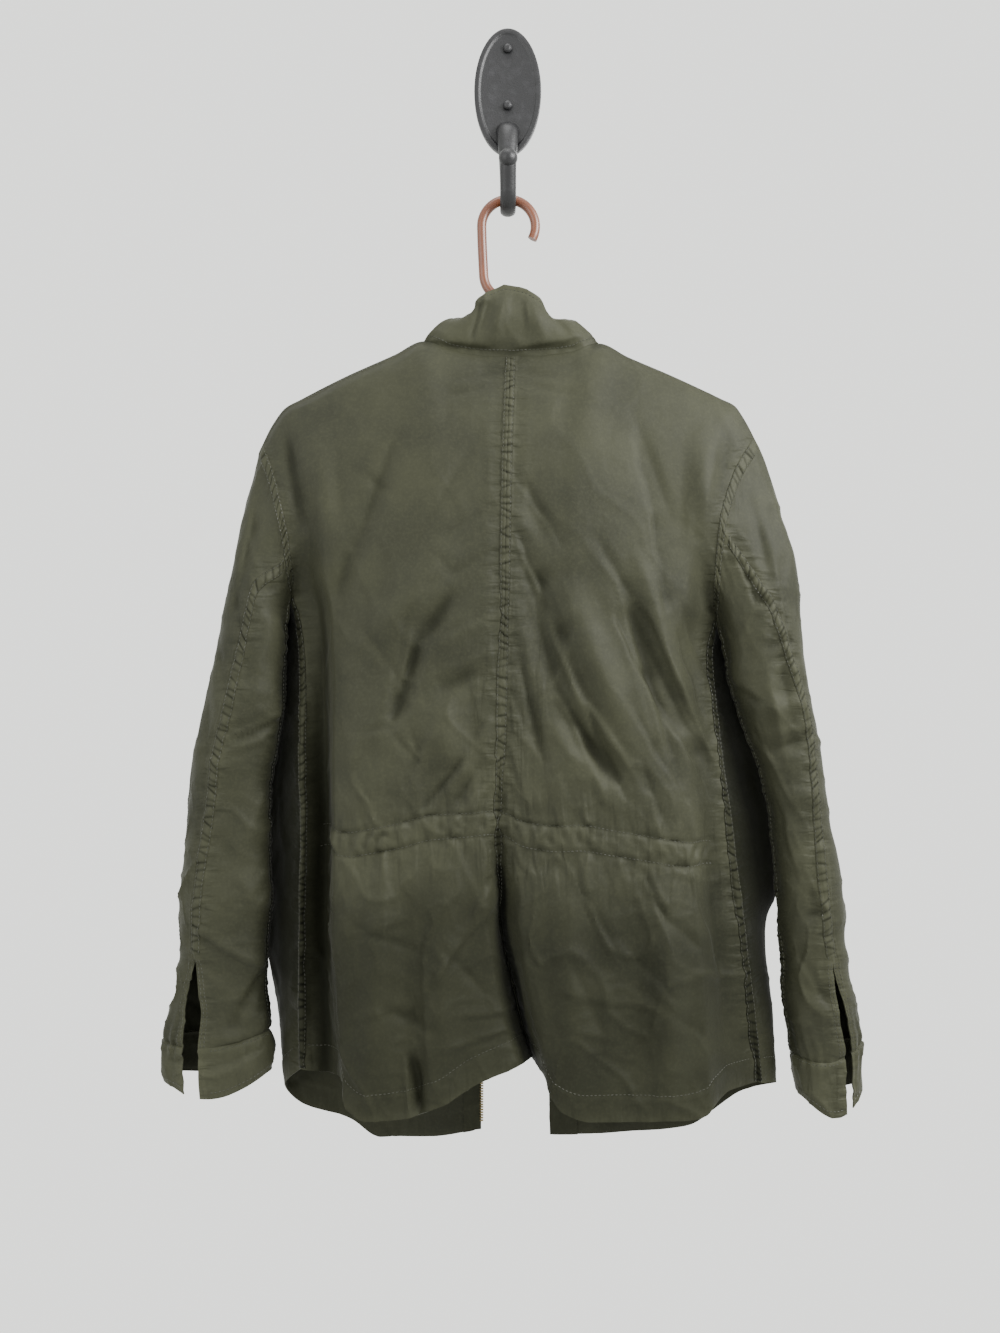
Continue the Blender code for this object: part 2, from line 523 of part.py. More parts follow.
def shared_normals(grids):
    """Outward normal and wall stretch at every point, equal where pieces meet.

    The normal halves the angle between pieces. Under the arm, where sleeve and
    body face each other, each of them keeps its own.
    """
    points = np.concatenate([grid.reshape(-1, 3) for grid, _ in grids.values()])
    each = np.concatenate([own_normals(grid, flip).reshape(-1, 3) for grid, flip in grids.values()])
    of_arm = np.concatenate([
        np.full(grid.shape[0] * grid.shape[1], name.startswith("sleeve"))
        for name, (grid, _) in grids.items()
    ])
    tree = KDTree(len(points))
    for i, point in enumerate(points):
        tree.insert(Vector(point), i)
    tree.balance()
    total = np.zeros_like(points)
    stretch = np.ones(len(points))
    for i, point in enumerate(points):
        near = [found[1] for found in tree.find_range(Vector(point), 0.00002)]
        arm = [k for k in near if of_arm[k]]
        rest = [k for k in near if not of_arm[k]]
        if arm and rest and each[arm].sum(axis=0) @ each[rest].sum(axis=0) < 0:
            near = arm if of_arm[i] else rest
        way = each[near].sum(axis=0)
        total[i] = way / np.linalg.norm(way)
        stretch[i] = min(1.6, 1 / max(0.1, min(each[near] @ total[i])))
    found = {}
    start = 0
    for name, (grid, _) in grids.items():
        rows, columns, _ = grid.shape
        end = start + rows * columns
        found[name] = (
            total[start:end].reshape(rows, columns, 3), stretch[start:end].reshape(rows, columns))
        start = end
    return found


def cloth_piece(name, grid, normals, stretch, flip, lift=0.0, wall=CLOTH):
    """Closed wall of cloth inside a grid, drawn back from its seams."""
    rows, columns, _ = grid.shape
    normal = normals.reshape(-1, 3)
    along = normal * stretch.reshape(-1)[:, None]
    points = grid.reshape(-1, 3) + along * lift
    loop = rim_loop(rows, columns, flip)
    shift = np.zeros_like(points)
    for k, here in enumerate(loop):
        before = loop[k - 1]
        after = loop[(k + 1) % len(loop)]
        ways = []
        for a, b in ((before, here), (here, after)):
            edge = points[b] - points[a]
            way = np.cross(normal[here], edge)
            ways.append(way / np.linalg.norm(way))
        both = ways[0] + ways[1]
        shift[here] = both / max(0.5, 1 + ways[0] @ ways[1]) * SEAM_GAP / 2
    outside = points + shift
    inside = outside - along * wall
    count = len(points)
    verts = [tuple(p) for p in outside] + [tuple(p) for p in inside]
    faces = triangles(rows, columns, flip)
    inner = [(a + count, c + count, b + count) for a, b, c in faces]
    rim = []
    for k, a in enumerate(loop):
        b = loop[(k + 1) % len(loop)]
        if tuple(np.round(points[a], 6)) < tuple(np.round(points[b], 6)):
            rim.append((b, a, b + count))
            rim.append((a, a + count, b + count))
        else:
            rim.append((b, a, a + count))
            rim.append((b, a + count, b + count))
    mesh = bpy.data.meshes.new(name)
    mesh.from_pydata(verts, [], faces + inner + rim)
    mesh.update()
    made = bpy.data.objects.new(name, mesh)
    bpy.context.scene.collection.objects.link(made)
    return made


def step_off(grid):
    """Draw the first row of a sleeve or the collar a little back from the body."""
    moved = grid.copy()
    way = grid[1] - grid[0]
    moved[0] += way / np.linalg.norm(way, axis=1)[:, None] * 0.0004
    return moved


def material(name, colour, roughness, metallic=0.0):
    """Plain surface for one kind of part."""
    made = bpy.data.materials.new(name)
    made.use_nodes = True
    shader = made.node_tree.nodes["Principled BSDF"]
    shader.inputs["Base Color"].default_value = (*colour, 1)
    shader.inputs["Roughness"].default_value = roughness
    shader.inputs["Metallic"].default_value = metallic
    return made


def tube(name, path, radius, sides, wide=1.0, closed=False, squash=None):
    """Round or oval bar along a list of points, its ends closed flat."""
    path = [Vector(p) for p in path]
    count = len(path)
    verts = []
    side_ref = squash if squash else Vector((0, 1, 0))
    for i, point in enumerate(path):
        if closed:
            ahead = path[(i + 1) % count] - path[i - 1]
        else:
            ahead = path[min(i + 1, count - 1)] - path[max(i - 1, 0)]
        ahead.normalize()
        a = side_ref - ahead * side_ref.dot(ahead)
        a.normalize()
        b = ahead.cross(a)
        size = radius[i] if isinstance(radius, list) else radius
        for k in range(sides):
            angle = 2 * math.pi * (k + 0.5) / sides
            verts.append(point + a * size * wide * math.cos(angle) + b * size * math.sin(angle))
    faces = []
    last = count if closed else count - 1
    for i in range(last):
        n = (i + 1) % count
        for k in range(sides):
            m = (k + 1) % sides
            faces.append((i * sides + k, i * sides + m, n * sides + m, n * sides + k))
    if not closed:
        faces.append([k for k in range(sides)][::-1])
        faces.append([(count - 1) * sides + k for k in range(sides)])
    mesh = bpy.data.meshes.new(name)
    mesh.from_pydata([tuple(v) for v in verts], [], faces)
    mesh.update()
    made = bpy.data.objects.new(name, mesh)
    bpy.context.scene.collection.objects.link(made)
    return made


def turned(name, rings, sides):
    """Solid turned about a line along Y: radius and y of every ring, and centre."""
    verts = []
    x, z = rings["centre"]
    for radius, y in rings["rings"]:
        for k in range(sides):
            angle = 2 * math.pi * k / sides
            verts.append((x + radius * math.cos(angle), y, z + radius * math.sin(angle)))
    count = len(rings["rings"])
    faces = []
    for i in range(count - 1):
        for k in range(sides):
            m = (k + 1) % sides
            faces.append((i * sides + k, i * sides + m, (i + 1) * sides + m, (i + 1) * sides + k))
    faces.append([k for k in range(sides)][::-1])
    faces.append([(count - 1) * sides + k for k in range(sides)])
    mesh = bpy.data.meshes.new(name)
    mesh.from_pydata(verts, [], faces)
    mesh.update()
    made = bpy.data.objects.new(name, mesh)
    bpy.context.scene.collection.objects.link(made)
    return made


def bezier(a, b, c, d, steps):
    """Points on a cubic curve, without its first point."""
    found = []
    for i in range(1, steps + 1):
        t = i / steps
        s = 1 - t
        found.append(tuple(
            s ** 3 * a[k] + 3 * s * s * t * b[k] + 3 * s * t * t * c[k] + t ** 3 * d[k]
            for k in range(3)
        ))
    return found


def boolean(target, cutter, operation):
    """Exact union or difference, applied at export."""
    change = target.modifiers.new(operation.title(), "BOOLEAN")
    change.operation = operation
    change.solver = "EXACT"
    change.object = cutter
    cutter.hide_render = True
    cutter.display_type = "WIRE"


# Body panels
fade = edge_fade(BODY_V, BACK_U)
back_left = panel(
    CENTRE_BACK, SIDE_LEFT, BACK_HEM_LEFT, TOP_LEFT, BACK_DEPTH_LEFT, BODY_V, BACK_U, 3)
back_left = add_relief(back_left, FOLDS_LEFT, fade)
back_right = panel(
    CENTRE_BACK, SIDE_RIGHT, BACK_HEM_RIGHT, TOP_RIGHT, BACK_DEPTH_RIGHT, BODY_V, BACK_U, 3)
back_right = add_relief(back_right, FOLDS_RIGHT, fade)
front_side_left = SIDE_LEFT[:7] + FRONT_ARM_LEFT
front_side_right = SIDE_RIGHT[:7] + FRONT_ARM_RIGHT
front_top_left = FRONT_NECK_LEFT[:2] + TOP_LEFT[3:]
front_top_right = FRONT_NECK_RIGHT[:2] + TOP_RIGHT[3:]
front_left = panel(
    CENTRE_FRONT_LEFT, front_side_left, FRONT_HEM_LEFT, front_top_left,
    FRONT_DEPTH, BODY_V, FRONT_U, 1.8)
front_left = spread(front_left, FRONT_REACH_LEFT, BODY_V, FRONT_U, -1)
front_right = panel(
    CENTRE_FRONT_RIGHT, front_side_right, FRONT_HEM_RIGHT, front_top_right,
    FRONT_DEPTH, BODY_V, FRONT_U, 1.8)
front_right = spread(front_right, FRONT_REACH_RIGHT, BODY_V, FRONT_U, 1)

# The fronts share the backs' points along the side and shoulder seams
neck_columns = len(SHOULDER_U)
for front, back in ((front_left, back_left), (front_right, back_right)):
    front[:UNDERARM + 1, -1] = back[:UNDERARM + 1, -1]
    front[-1, -neck_columns:] = back[-1, -neck_columns:]

# Sleeves and cuffs
levels = SLEEVE_V + CUFF_V[1:]
ends = len(SLEEVE_V)
grids = {
    "back_left": (back_left, True),
    "back_right": (back_right, False),
    "front_left": (front_left, False),
    "front_right": (front_right, True),
}
sleeve_pieces = {}
for side, back, front, table, seam, folds in (
    ("left", back_left, front_left, SLEEVE_LEFT, SLEEVE_SEAM_LEFT, SLEEVE_FOLDS_LEFT),
    ("right", back_right, front_right, SLEEVE_RIGHT, SLEEVE_SEAM_RIGHT, SLEEVE_FOLDS_RIGHT),
):
    ring = armhole(back, front)
    whole = sleeve(side, ring, table, seam, folds, levels)
    count = len(ring)
    half = count // 2
    joint = SEAM_COLUMN[side]
    flip = side == "left"
    under_columns = list(range(joint, half + 1))
    upper_columns = [j % count for j in range(half, count + joint + 1)]
    cuff_columns = [j % count for j in range(joint, count + joint + 1)]
    under = open_vent(whole[:, under_columns].copy(), levels, 0, *VENT_UNDER[side])
    upper = open_vent(whole[:, upper_columns].copy(), levels, -1, *VENT_UPPER[side])
    cuff = whole[ends - 1:, cuff_columns].copy()
    cuff = open_vent(cuff, levels[ends - 1:], 0, *VENT_UNDER[side])
    cuff = open_vent(cuff, levels[ends - 1:], -1, *VENT_UPPER[side])
    grids["sleeve_under_" + side] = (under[:ends], flip)
    grids["sleeve_upper_" + side] = (upper[:ends], flip)
    grids["cuff_" + side] = (cuff, flip)

# Collar, from the left front edge round the back to the right front edge
neck_back = len(BACK_U) - len(SHOULDER_U) + 1
neck_front = len(FRONT_U) - len(SHOULDER_U) + 1
left_front = [(front_left[-1, j], 0.5 + 0.5 * (0.36 - FRONT_U[j]) / 0.36, -1) for j in range(neck_front)]
left_back = [(back_left[-1, j], 0.5 * BACK_U[j] / 0.36, -1) for j in range(neck_back - 2, -1, -1)]
right_back = [(back_right[-1, j], 0.5 * BACK_U[j] / 0.36, 1) for j in range(1, neck_back)]
right_front = [
    (front_right[-1, j], 0.5 + 0.5 * (0.36 - FRONT_U[j]) / 0.36, 1)
    for j in range(neck_front - 2, -1, -1)
]
neckline = left_front + left_back + right_back + right_front
collar = np.zeros((len(COLLAR_W), len(neckline), 3))
for j, (base, place, hand) in enumerate(neckline):
    rows = []
    for row in COLLAR_STEPS:
        steps = [(p, *step) for p, step in zip(COLLAR_PLACES, row[1:])]
        rows.append((row[0], *smooth(steps, place)[0]))
    steps = smooth(rows, COLLAR_W)
    mirror = hand if place > 0.12 else hand * place / 0.12 + (-1) * (1 - place / 0.12)
    for i, (dx, dd, dz) in enumerate(steps):
        collar[i, j] = base + np.array([dx * mirror, -dd, dz])
grids["collar"] = (collar, False)

normals = shared_normals(grids)
cloth = []
for name, (grid, flip) in grids.items():
    if name.startswith(("sleeve", "collar")):
        grid = step_off(grid)
    cloth.append(cloth_piece(name, grid, *normals[name], flip))

# Waist casing inside the back, zip tape and placket inside the front edges
inside_lift = -(CLOTH + LAY_GAP)
strips = (
    ("waist_casing_left", "back_left", WAIST[0], WAIST[1] + 1, 1, len(BACK_U) - 1),
    ("waist_casing_right", "back_right", WAIST[0], WAIST[1] + 1, 1, len(BACK_U) - 1),
    ("zip_tape_left", "front_left", 0, len(BODY_V) - 1, 0, 2),
    ("placket_right", "front_right", 0, len(BODY_V) - 1, 0, 3),
)
for name, host, low, high, near, far in strips:
    grid, flip = grids[host]
    part = grid[low:high, near:far]
    lean = normals[host][0][low:high, near:far]
    plain = np.ones(lean.shape[:2])
    cloth.append(cloth_piece(name, part, lean, plain, flip, inside_lift, TAPE))

cloth_material = material("olive_cotton", (0.105, 0.110, 0.070), 0.75)
tape_material = material("olive_tape", (0.080, 0.085, 0.055), 0.8)
for made in cloth:
    plain = made.name.startswith(("waist", "zip", "placket"))
    made.data.materials.append(tape_material if plain else cloth_material)

# Hanger: a closed tube with shoulders and a bar, and a hook joined at its top
depth = -HANGER_DEPTH
loop = [(0.0010, depth, -0.2060)]
loop += bezier((0.0010, depth, -0.2060), (-0.02, depth, -0.2130), (-0.0300, depth, -0.2202),
               (-0.0500, depth, -0.2288), 5)
loop += bezier((-0.0500, depth, -0.2288), (-0.10, depth, -0.2509), (-0.15, depth, -0.2730),
               (-0.1900, depth, -0.2907), 5)
loop += bezier((-0.1900, depth, -0.2907), (-0.2070, depth, -0.2985), (-0.2070, depth, -0.3240),
               (-0.1850, depth, -0.3260), 7)
loop += bezier((-0.1850, depth, -0.3260), (-0.06, depth, -0.3300), (0.06, depth, -0.3300),
               (0.1870, depth, -0.3260), 7)
loop += bezier((0.1870, depth, -0.3260), (0.2090, depth, -0.3240), (0.2090, depth, -0.2985),
               (0.1920, depth, -0.2907), 7)
loop += bezier((0.1920, depth, -0.2907), (0.15, depth, -0.2721), (0.10, depth, -0.2500),
               (0.0520, depth, -0.2284), 5)
loop += bezier((0.0520, depth, -0.2284), (0.0320, depth, -0.2198), (0.022, depth, -0.2130),
               (0.0010, depth, -0.2060), 5)[:-1]
hanger = tube("hanger", loop, TUBE_R, 8, closed=True)
stem = [(0.0010, depth, -0.2060)]
stem += bezier((0.0010, depth, -0.2060), (0.0010, depth, -0.1850), (-0.0200, depth, -0.1900),
               (-0.0230, depth, -0.1680), 6)
stem += bezier((-0.0230, depth, -0.1680), (-0.0236, depth, -0.1550), (-0.0246, depth, -0.1400),
               (-0.0250, depth, -0.1200), 3)
for i in range(1, 14):
    angle = math.radians(180 - 16 * i)
    stem.append((0.0005 + 0.0255 * math.cos(angle), depth, -0.1200 + 0.0255 * math.sin(angle)))
hook = tube("hanger_hook", stem, TUBE_R - 0.0001, 8)
boolean(hanger, hook, "UNION")
hanger.data.materials.append(material("amber_plastic", (0.42, 0.17, 0.07), 0.3))

# Wall hook: an oval plate and a turned-up arm cast in one
outline = []
for k in range(32):
    angle = 2 * math.pi * k / 32
    outline.append((0.5 * PLATE_W * math.cos(angle), 0.028 + 0.062 * math.sin(angle)))
verts = []
for y, inset in ((0.0, 1.0), (-PLATE_T + 0.0025, 1.0), (-PLATE_T, 0.93)):
    verts += [(x * inset, y, 0.028 + (z - 0.028) * inset) for x, z in outline]
faces = [[k for k in range(32)], [64 + k for k in range(32)][::-1]]
for ring in range(2):
    for k in range(32):
        m = (k + 1) % 32
        faces.append((ring * 32 + k, (ring + 1) * 32 + k, (ring + 1) * 32 + m, ring * 32 + m))
mesh = bpy.data.meshes.new("wall_hook")
mesh.from_pydata(verts, [], faces)
mesh.update()
wall_hook = bpy.data.objects.new("wall_hook", mesh)
bpy.context.scene.collection.objects.link(wall_hook)
arm_path = [(0, -0.0020, -0.0100), (0, -0.0078, -0.0104)]
arm_path += bezier((0, -0.0078, -0.0104), (0, -0.0190, -0.0130), (0, -0.0200, -0.0700),
                   (0, -0.0300, -0.0880), 6)
arm_path += bezier((0, -0.0300, -0.0880), (0, -0.0390, -0.1090), (0, -0.0620, -0.1120),
                   (0, -0.0700, -0.0900), 7)
arm_path += bezier((0, -0.0700, -0.0900), (0, -0.0740, -0.0800), (0, -0.0770, -0.0750),
                   (0, -0.0790, -0.0690), 3)
arm_sizes = [0.0075, 0.0075, 0.0068, 0.0062, 0.0058, 0.0055, 0.0052, 0.0050]
arm_sizes += [0.0050] * (len(arm_path) - len(arm_sizes))
arm = tube("hook_arm", arm_path, arm_sizes, 12, wide=1.45, squash=Vector((1, 0, 0)))
knob = turned("hook_knob", {"centre": (0.0, -0.0665), "rings": [
    (0.0030, -0.0700), (0.0062, -0.0722), (0.0082, -0.0760), (0.0088, -0.0800),
    (0.0078, -0.0842), (0.0050, -0.0872), (0.0020, -0.0882),
]}, 14)
hole_rings = [(0.0025, 0.0010), (0.0025, -PLATE_T - 0.0010)]
hole_top = turned("hole_top", {"centre": (0.0, 0.0700), "rings": hole_rings}, 16)
hole_low = turned("hole_low", {"centre": (0.0, 0.0140), "rings": hole_rings}, 16)
boolean(wall_hook, arm, "UNION")
boolean(wall_hook, knob, "UNION")
boolean(wall_hook, hole_top, "DIFFERENCE")
boolean(wall_hook, hole_low, "DIFFERENCE")
iron = material("black_iron", (0.02, 0.02, 0.022), 0.5, 0.6)
wall_hook.data.materials.append(iron)
for name, height in (("screw_top", 0.0700), ("screw_low", 0.0140)):
    face = -PLATE_T - 0.0003
    screw = turned(name, {"centre": (0.0, height), "rings": [
        (0.0021, -0.0003), (0.0021, face), (0.0046, face), (0.0044, face - 0.0012),
        (0.0034, face - 0.0024), (0.0016, face - 0.0030),
    ]}, 16)
    screw.data.materials.append(iron)
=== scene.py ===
# %% [markdown]
# A utility jacket hangs on a tubular hanger, seen from its back. This lesson
# dresses the plain solids of that model: every panel of cloth is made again as
# a fine thin shell on the same seam lines, then creased, gathered and sewn.

# %% Load the solids
import math

import bpy
import numpy as np
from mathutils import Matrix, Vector


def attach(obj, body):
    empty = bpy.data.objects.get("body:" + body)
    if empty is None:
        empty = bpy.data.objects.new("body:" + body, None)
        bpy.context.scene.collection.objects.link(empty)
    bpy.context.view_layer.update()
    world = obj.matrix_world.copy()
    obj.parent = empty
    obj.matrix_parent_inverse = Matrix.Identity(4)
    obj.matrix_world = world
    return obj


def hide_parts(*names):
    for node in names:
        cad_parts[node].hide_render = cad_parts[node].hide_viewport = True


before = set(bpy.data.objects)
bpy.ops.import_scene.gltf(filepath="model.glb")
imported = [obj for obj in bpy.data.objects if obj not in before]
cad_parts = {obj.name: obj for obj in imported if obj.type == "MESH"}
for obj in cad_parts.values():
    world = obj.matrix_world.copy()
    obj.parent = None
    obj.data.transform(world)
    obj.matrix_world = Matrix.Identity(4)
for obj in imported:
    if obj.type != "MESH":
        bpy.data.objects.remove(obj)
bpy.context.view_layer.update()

# %% [markdown]
# The seam lines come first, as a pattern cutter would draw them: each is a
# short table of a level or column, then x and z in metres. The same numbers
# shaped the solids, so the fine cloth lies where the solids lie.

# %% Seam lines, hems and neck
CLOTH = 0.0012
UNDERARM_V = 0.72
CENTRE_BACK = [
    (0.00, 0.022, -0.905), (0.13, 0.006, -0.837), (0.26, -0.007, -0.760),
    (0.38, -0.010, -0.674), (0.50, -0.007, -0.601), (0.62, -0.005, -0.523),
    (0.72, -0.003, -0.450), (0.80, -0.002, -0.395), (0.88, -0.001, -0.339),
    (0.95, 0.001, -0.286), (1.00, 0.002, -0.246),
]
SIDE_LEFT = [
    (0.00, -0.194, -0.914), (0.13, -0.194, -0.845), (0.26, -0.193, -0.770),
    (0.38, -0.191, -0.698), (0.50, -0.193, -0.626), (0.62, -0.194, -0.549),
    (0.68, -0.197, -0.505), (0.72, -0.205, -0.473), (0.80, -0.206, -0.435),
    (0.88, -0.212, -0.397), (0.95, -0.222, -0.362), (1.00, -0.235, -0.331),
]
SIDE_RIGHT = [
    (0.00, 0.235, -0.929), (0.13, 0.227, -0.859), (0.26, 0.219, -0.788),
    (0.38, 0.209, -0.711), (0.50, 0.201, -0.639), (0.62, 0.193, -0.568),
    (0.68, 0.190, -0.527), (0.72, 0.197, -0.496), (0.80, 0.195, -0.453),
    (0.88, 0.198, -0.410), (0.95, 0.213, -0.362), (1.00, 0.236, -0.325),
]
FRONT_ARM_LEFT = [
    (0.72, -0.205, -0.473), (0.80, -0.210, -0.431), (0.88, -0.219, -0.390),
    (0.95, -0.228, -0.356), (1.00, -0.235, -0.331),
]
FRONT_ARM_RIGHT = [
    (0.72, 0.197, -0.496), (0.80, 0.203, -0.450), (0.88, 0.210, -0.403),
    (0.95, 0.223, -0.356), (1.00, 0.236, -0.325),
]
CENTRE_FRONT_LEFT = [(0.00, -0.026, -0.988), (0.50, -0.024, -0.650), (1.00, -0.019, -0.319)]
CENTRE_FRONT_RIGHT = [(0.00, 0.041, -0.993), (0.50, 0.034, -0.650), (1.00, 0.023, -0.319)]
TOP_LEFT = [
    (0.00, 0.002, -0.246), (0.12, -0.026, -0.245), (0.26, -0.055, -0.239),
    (0.36, -0.080, -0.229), (0.48, -0.108, -0.242), (0.66, -0.155, -0.263),
    (0.84, -0.198, -0.285), (0.90, -0.211, -0.292), (0.95, -0.224, -0.309),
    (1.00, -0.235, -0.331),
]
TOP_RIGHT = [
    (0.00, 0.002, -0.246), (0.12, 0.030, -0.245), (0.26, 0.060, -0.241),
    (0.36, 0.086, -0.231), (0.48, 0.114, -0.244), (0.66, 0.156, -0.262),
    (0.84, 0.203, -0.284), (0.90, 0.215, -0.290), (0.95, 0.225, -0.304),
    (1.00, 0.236, -0.325),
]
FRONT_NECK_LEFT = [(0.00, -0.019, -0.319), (0.18, -0.054, -0.289), (0.36, -0.080, -0.229)]
FRONT_NECK_RIGHT = [(0.00, 0.023, -0.319), (0.18, 0.056, -0.289), (0.36, 0.086, -0.231)]
BACK_HEM_LEFT = [
    (0.00, 0.022, -0.905), (0.06, 0.012, -0.900), (0.15, -0.008, -0.906),
    (0.25, -0.026, -0.913), (0.40, -0.061, -0.932), (0.55, -0.092, -0.942),
    (0.72, -0.127, -0.945), (0.80, -0.145, -0.936), (0.86, -0.156, -0.916),
    (0.93, -0.178, -0.916), (1.00, -0.194, -0.914),
]
BACK_HEM_RIGHT = [
    (0.00, 0.022, -0.905), (0.05, 0.032, -0.911), (0.08, 0.038, -0.926),
    (0.14, 0.048, -0.938), (0.27, 0.072, -0.946), (0.55, 0.127, -0.946),
    (0.72, 0.159, -0.946), (0.81, 0.179, -0.943), (0.86, 0.191, -0.935),
    (0.91, 0.206, -0.929), (1.00, 0.235, -0.929),
]
FRONT_HEM_LEFT = [
    (0.00, -0.026, -0.988), (0.20, -0.074, -0.996), (0.45, -0.124, -0.997),
    (0.60, -0.154, -0.978), (0.80, -0.201, -0.960), (0.93, -0.214, -0.937),
    (1.00, -0.194, -0.914),
]
FRONT_HEM_RIGHT = [
    (0.00, 0.041, -0.993), (0.20, 0.080, -0.993), (0.45, 0.134, -0.990),
    (0.60, 0.174, -0.985), (0.80, 0.226, -0.949), (0.93, 0.256, -0.935),
    (1.00, 0.235, -0.929),
]
print("seam lines for four body panels")

# %% [markdown]
# A hanging garment is never flat. These sections say how far each panel stands
# out from the wall, column by column, at levels from hem to neck. The deep fall
# at the centre below the waist and the groove inside the left side are here.

# %% Sections of the panels
BACK_DEPTH_LEFT = [
    (None, 0.00, 0.04, 0.09, 0.15, 0.30, 0.36, 0.50, 0.70, 0.82, 0.90, 1.00),
    (0.00, 0.062, 0.088, 0.106, 0.110, 0.114, 0.1161, 0.121, 0.121, 0.113, 0.070, 0.070),
    (0.13, 0.066, 0.090, 0.106, 0.109, 0.112, 0.1138, 0.118, 0.118, 0.111, 0.060, 0.070),
    (0.26, 0.076, 0.096, 0.107, 0.108, 0.110, 0.1115, 0.115, 0.115, 0.108, 0.054, 0.072),
    (0.38, 0.092, 0.098, 0.101, 0.103, 0.105, 0.1059, 0.108, 0.107, 0.102, 0.056, 0.072),
    (0.50, 0.100, 0.103, 0.105, 0.106, 0.109, 0.109, 0.109, 0.105, 0.096, 0.054, 0.067),
    (0.62, 0.102, 0.104, 0.106, 0.107, 0.108, 0.1074, 0.106, 0.100, 0.090, 0.057, 0.058),
    (0.72, 0.102, 0.103, 0.105, 0.105, 0.105, 0.1041, 0.102, 0.096, 0.088, 0.068, 0.054),
    (0.80, 0.099, 0.100, 0.101, 0.101, 0.101, 0.1001, 0.098, 0.092, 0.087, 0.080, 0.074),
    (0.88, 0.092, 0.092, 0.093, 0.093, 0.092, 0.0911, 0.089, 0.086, 0.084, 0.082, 0.079),
    (0.95, 0.078, 0.078, 0.079, 0.079, 0.075, 0.0744, 0.073, 0.072, 0.072, 0.071, 0.068),
    (0.985, 0.065, 0.065, 0.065, 0.066, 0.064, 0.062, 0.061, 0.061, 0.061, 0.061, 0.059),
    (1.00, 0.060, 0.060, 0.060, 0.060, 0.0585, 0.050, 0.050, 0.050, 0.050, 0.050, 0.050),
]
BACK_DEPTH_RIGHT = [
    (None, 0.00, 0.04, 0.09, 0.15, 0.30, 0.36, 0.50, 0.70, 0.82, 0.90, 1.00),
    (0.00, 0.062, 0.092, 0.112, 0.118, 0.120, 0.120, 0.120, 0.118, 0.112, 0.088, 0.060),
    (0.13, 0.066, 0.092, 0.110, 0.115, 0.118, 0.118, 0.118, 0.116, 0.110, 0.086, 0.064),
    (0.26, 0.076, 0.096, 0.109, 0.112, 0.114, 0.114, 0.114, 0.112, 0.106, 0.084, 0.068),
    (0.38, 0.092, 0.098, 0.101, 0.103, 0.106, 0.106, 0.106, 0.104, 0.098, 0.082, 0.071),
    (0.50, 0.100, 0.101, 0.102, 0.103, 0.108, 0.1083, 0.109, 0.104, 0.094, 0.080, 0.069),
    (0.62, 0.102, 0.102, 0.103, 0.104, 0.107, 0.1067, 0.106, 0.100, 0.090, 0.076, 0.060),
    (0.72, 0.102, 0.103, 0.104, 0.105, 0.105, 0.1041, 0.102, 0.096, 0.088, 0.072, 0.054),
    (0.80, 0.099, 0.100, 0.101, 0.101, 0.101, 0.1001, 0.098, 0.092, 0.087, 0.081, 0.076),
    (0.88, 0.092, 0.092, 0.093, 0.093, 0.092, 0.0911, 0.089, 0.086, 0.084, 0.083, 0.081),
    (0.95, 0.078, 0.078, 0.079, 0.079, 0.075, 0.0744, 0.073, 0.072, 0.072, 0.071, 0.069),
    (0.985, 0.065, 0.065, 0.065, 0.066, 0.064, 0.062, 0.061, 0.061, 0.061, 0.061, 0.059),
    (1.00, 0.060, 0.060, 0.060, 0.060, 0.0585, 0.050, 0.050, 0.050, 0.050, 0.050, 0.050),
]
FRONT_DEPTH = [
    (None, 0.00, 0.18, 0.30, 0.36, 0.50, 0.70, 0.85, 0.93, 1.00),
    (0.00, 0.020, 0.018, 0.0167, 0.016, 0.018, 0.021, 0.030, 0.044, 0.065),
    (0.20, 0.021, 0.019, 0.0177, 0.017, 0.017, 0.018, 0.020, 0.036, 0.068),
    (0.38, 0.022, 0.020, 0.0181, 0.017, 0.016, 0.017, 0.018, 0.034, 0.071),
    (0.50, 0.021, 0.019, 0.0177, 0.017, 0.016, 0.017, 0.018, 0.033, 0.068),
    (0.62, 0.021, 0.019, 0.0177, 0.017, 0.016, 0.017, 0.018, 0.031, 0.059),
    (0.72, 0.021, 0.019, 0.0177, 0.017, 0.017, 0.018, 0.023, 0.031, 0.054),
    (0.80, 0.022, 0.020, 0.0187, 0.018, 0.018, 0.019, 0.022, 0.025, 0.030),
    (0.88, 0.024, 0.022, 0.0214, 0.021, 0.021, 0.021, 0.022, 0.022, 0.022),
    (0.95, 0.027, 0.027, 0.028, 0.029, 0.030, 0.030, 0.030, 0.029, 0.028),
    (0.985, 0.029, 0.030, 0.034, 0.040, 0.041, 0.041, 0.041, 0.041, 0.040),
    (1.00, 0.030, 0.032, 0.037, 0.050, 0.050, 0.050, 0.050, 0.050, 0.050),
]

# How far the fronts spread out behind the sleeves, by level, and each column's share
FRONT_REACH_LEFT = [
    (0.00, 0), (0.13, 0.024), (0.26, 0.0445), (0.38, 0.054), (0.50, 0.058),
    (0.62, 0.050), (0.66, 0.049), (0.69, 0.040), (0.72, 0.006), (0.73, 0), (1.00, 0),
]
FRONT_REACH_RIGHT = [
    (0.00, 0), (0.13, 0.024), (0.20, 0.028), (0.26, 0.036), (0.32, 0.056), (0.38, 0.062),
    (0.50, 0.058), (0.62, 0.050), (0.66, 0.049), (0.69, 0.040), (0.72, 0.006), (0.73, 0),
    (1.00, 0),
]
FRONT_SHARE = [
    (0.00, 0), (0.18, 0.04), (0.30, 0.12), (0.36, 0.17), (0.50, 0.33), (0.70, 0.72),
    (0.85, 1.00), (0.93, 0.50), (1.00, 0),
]

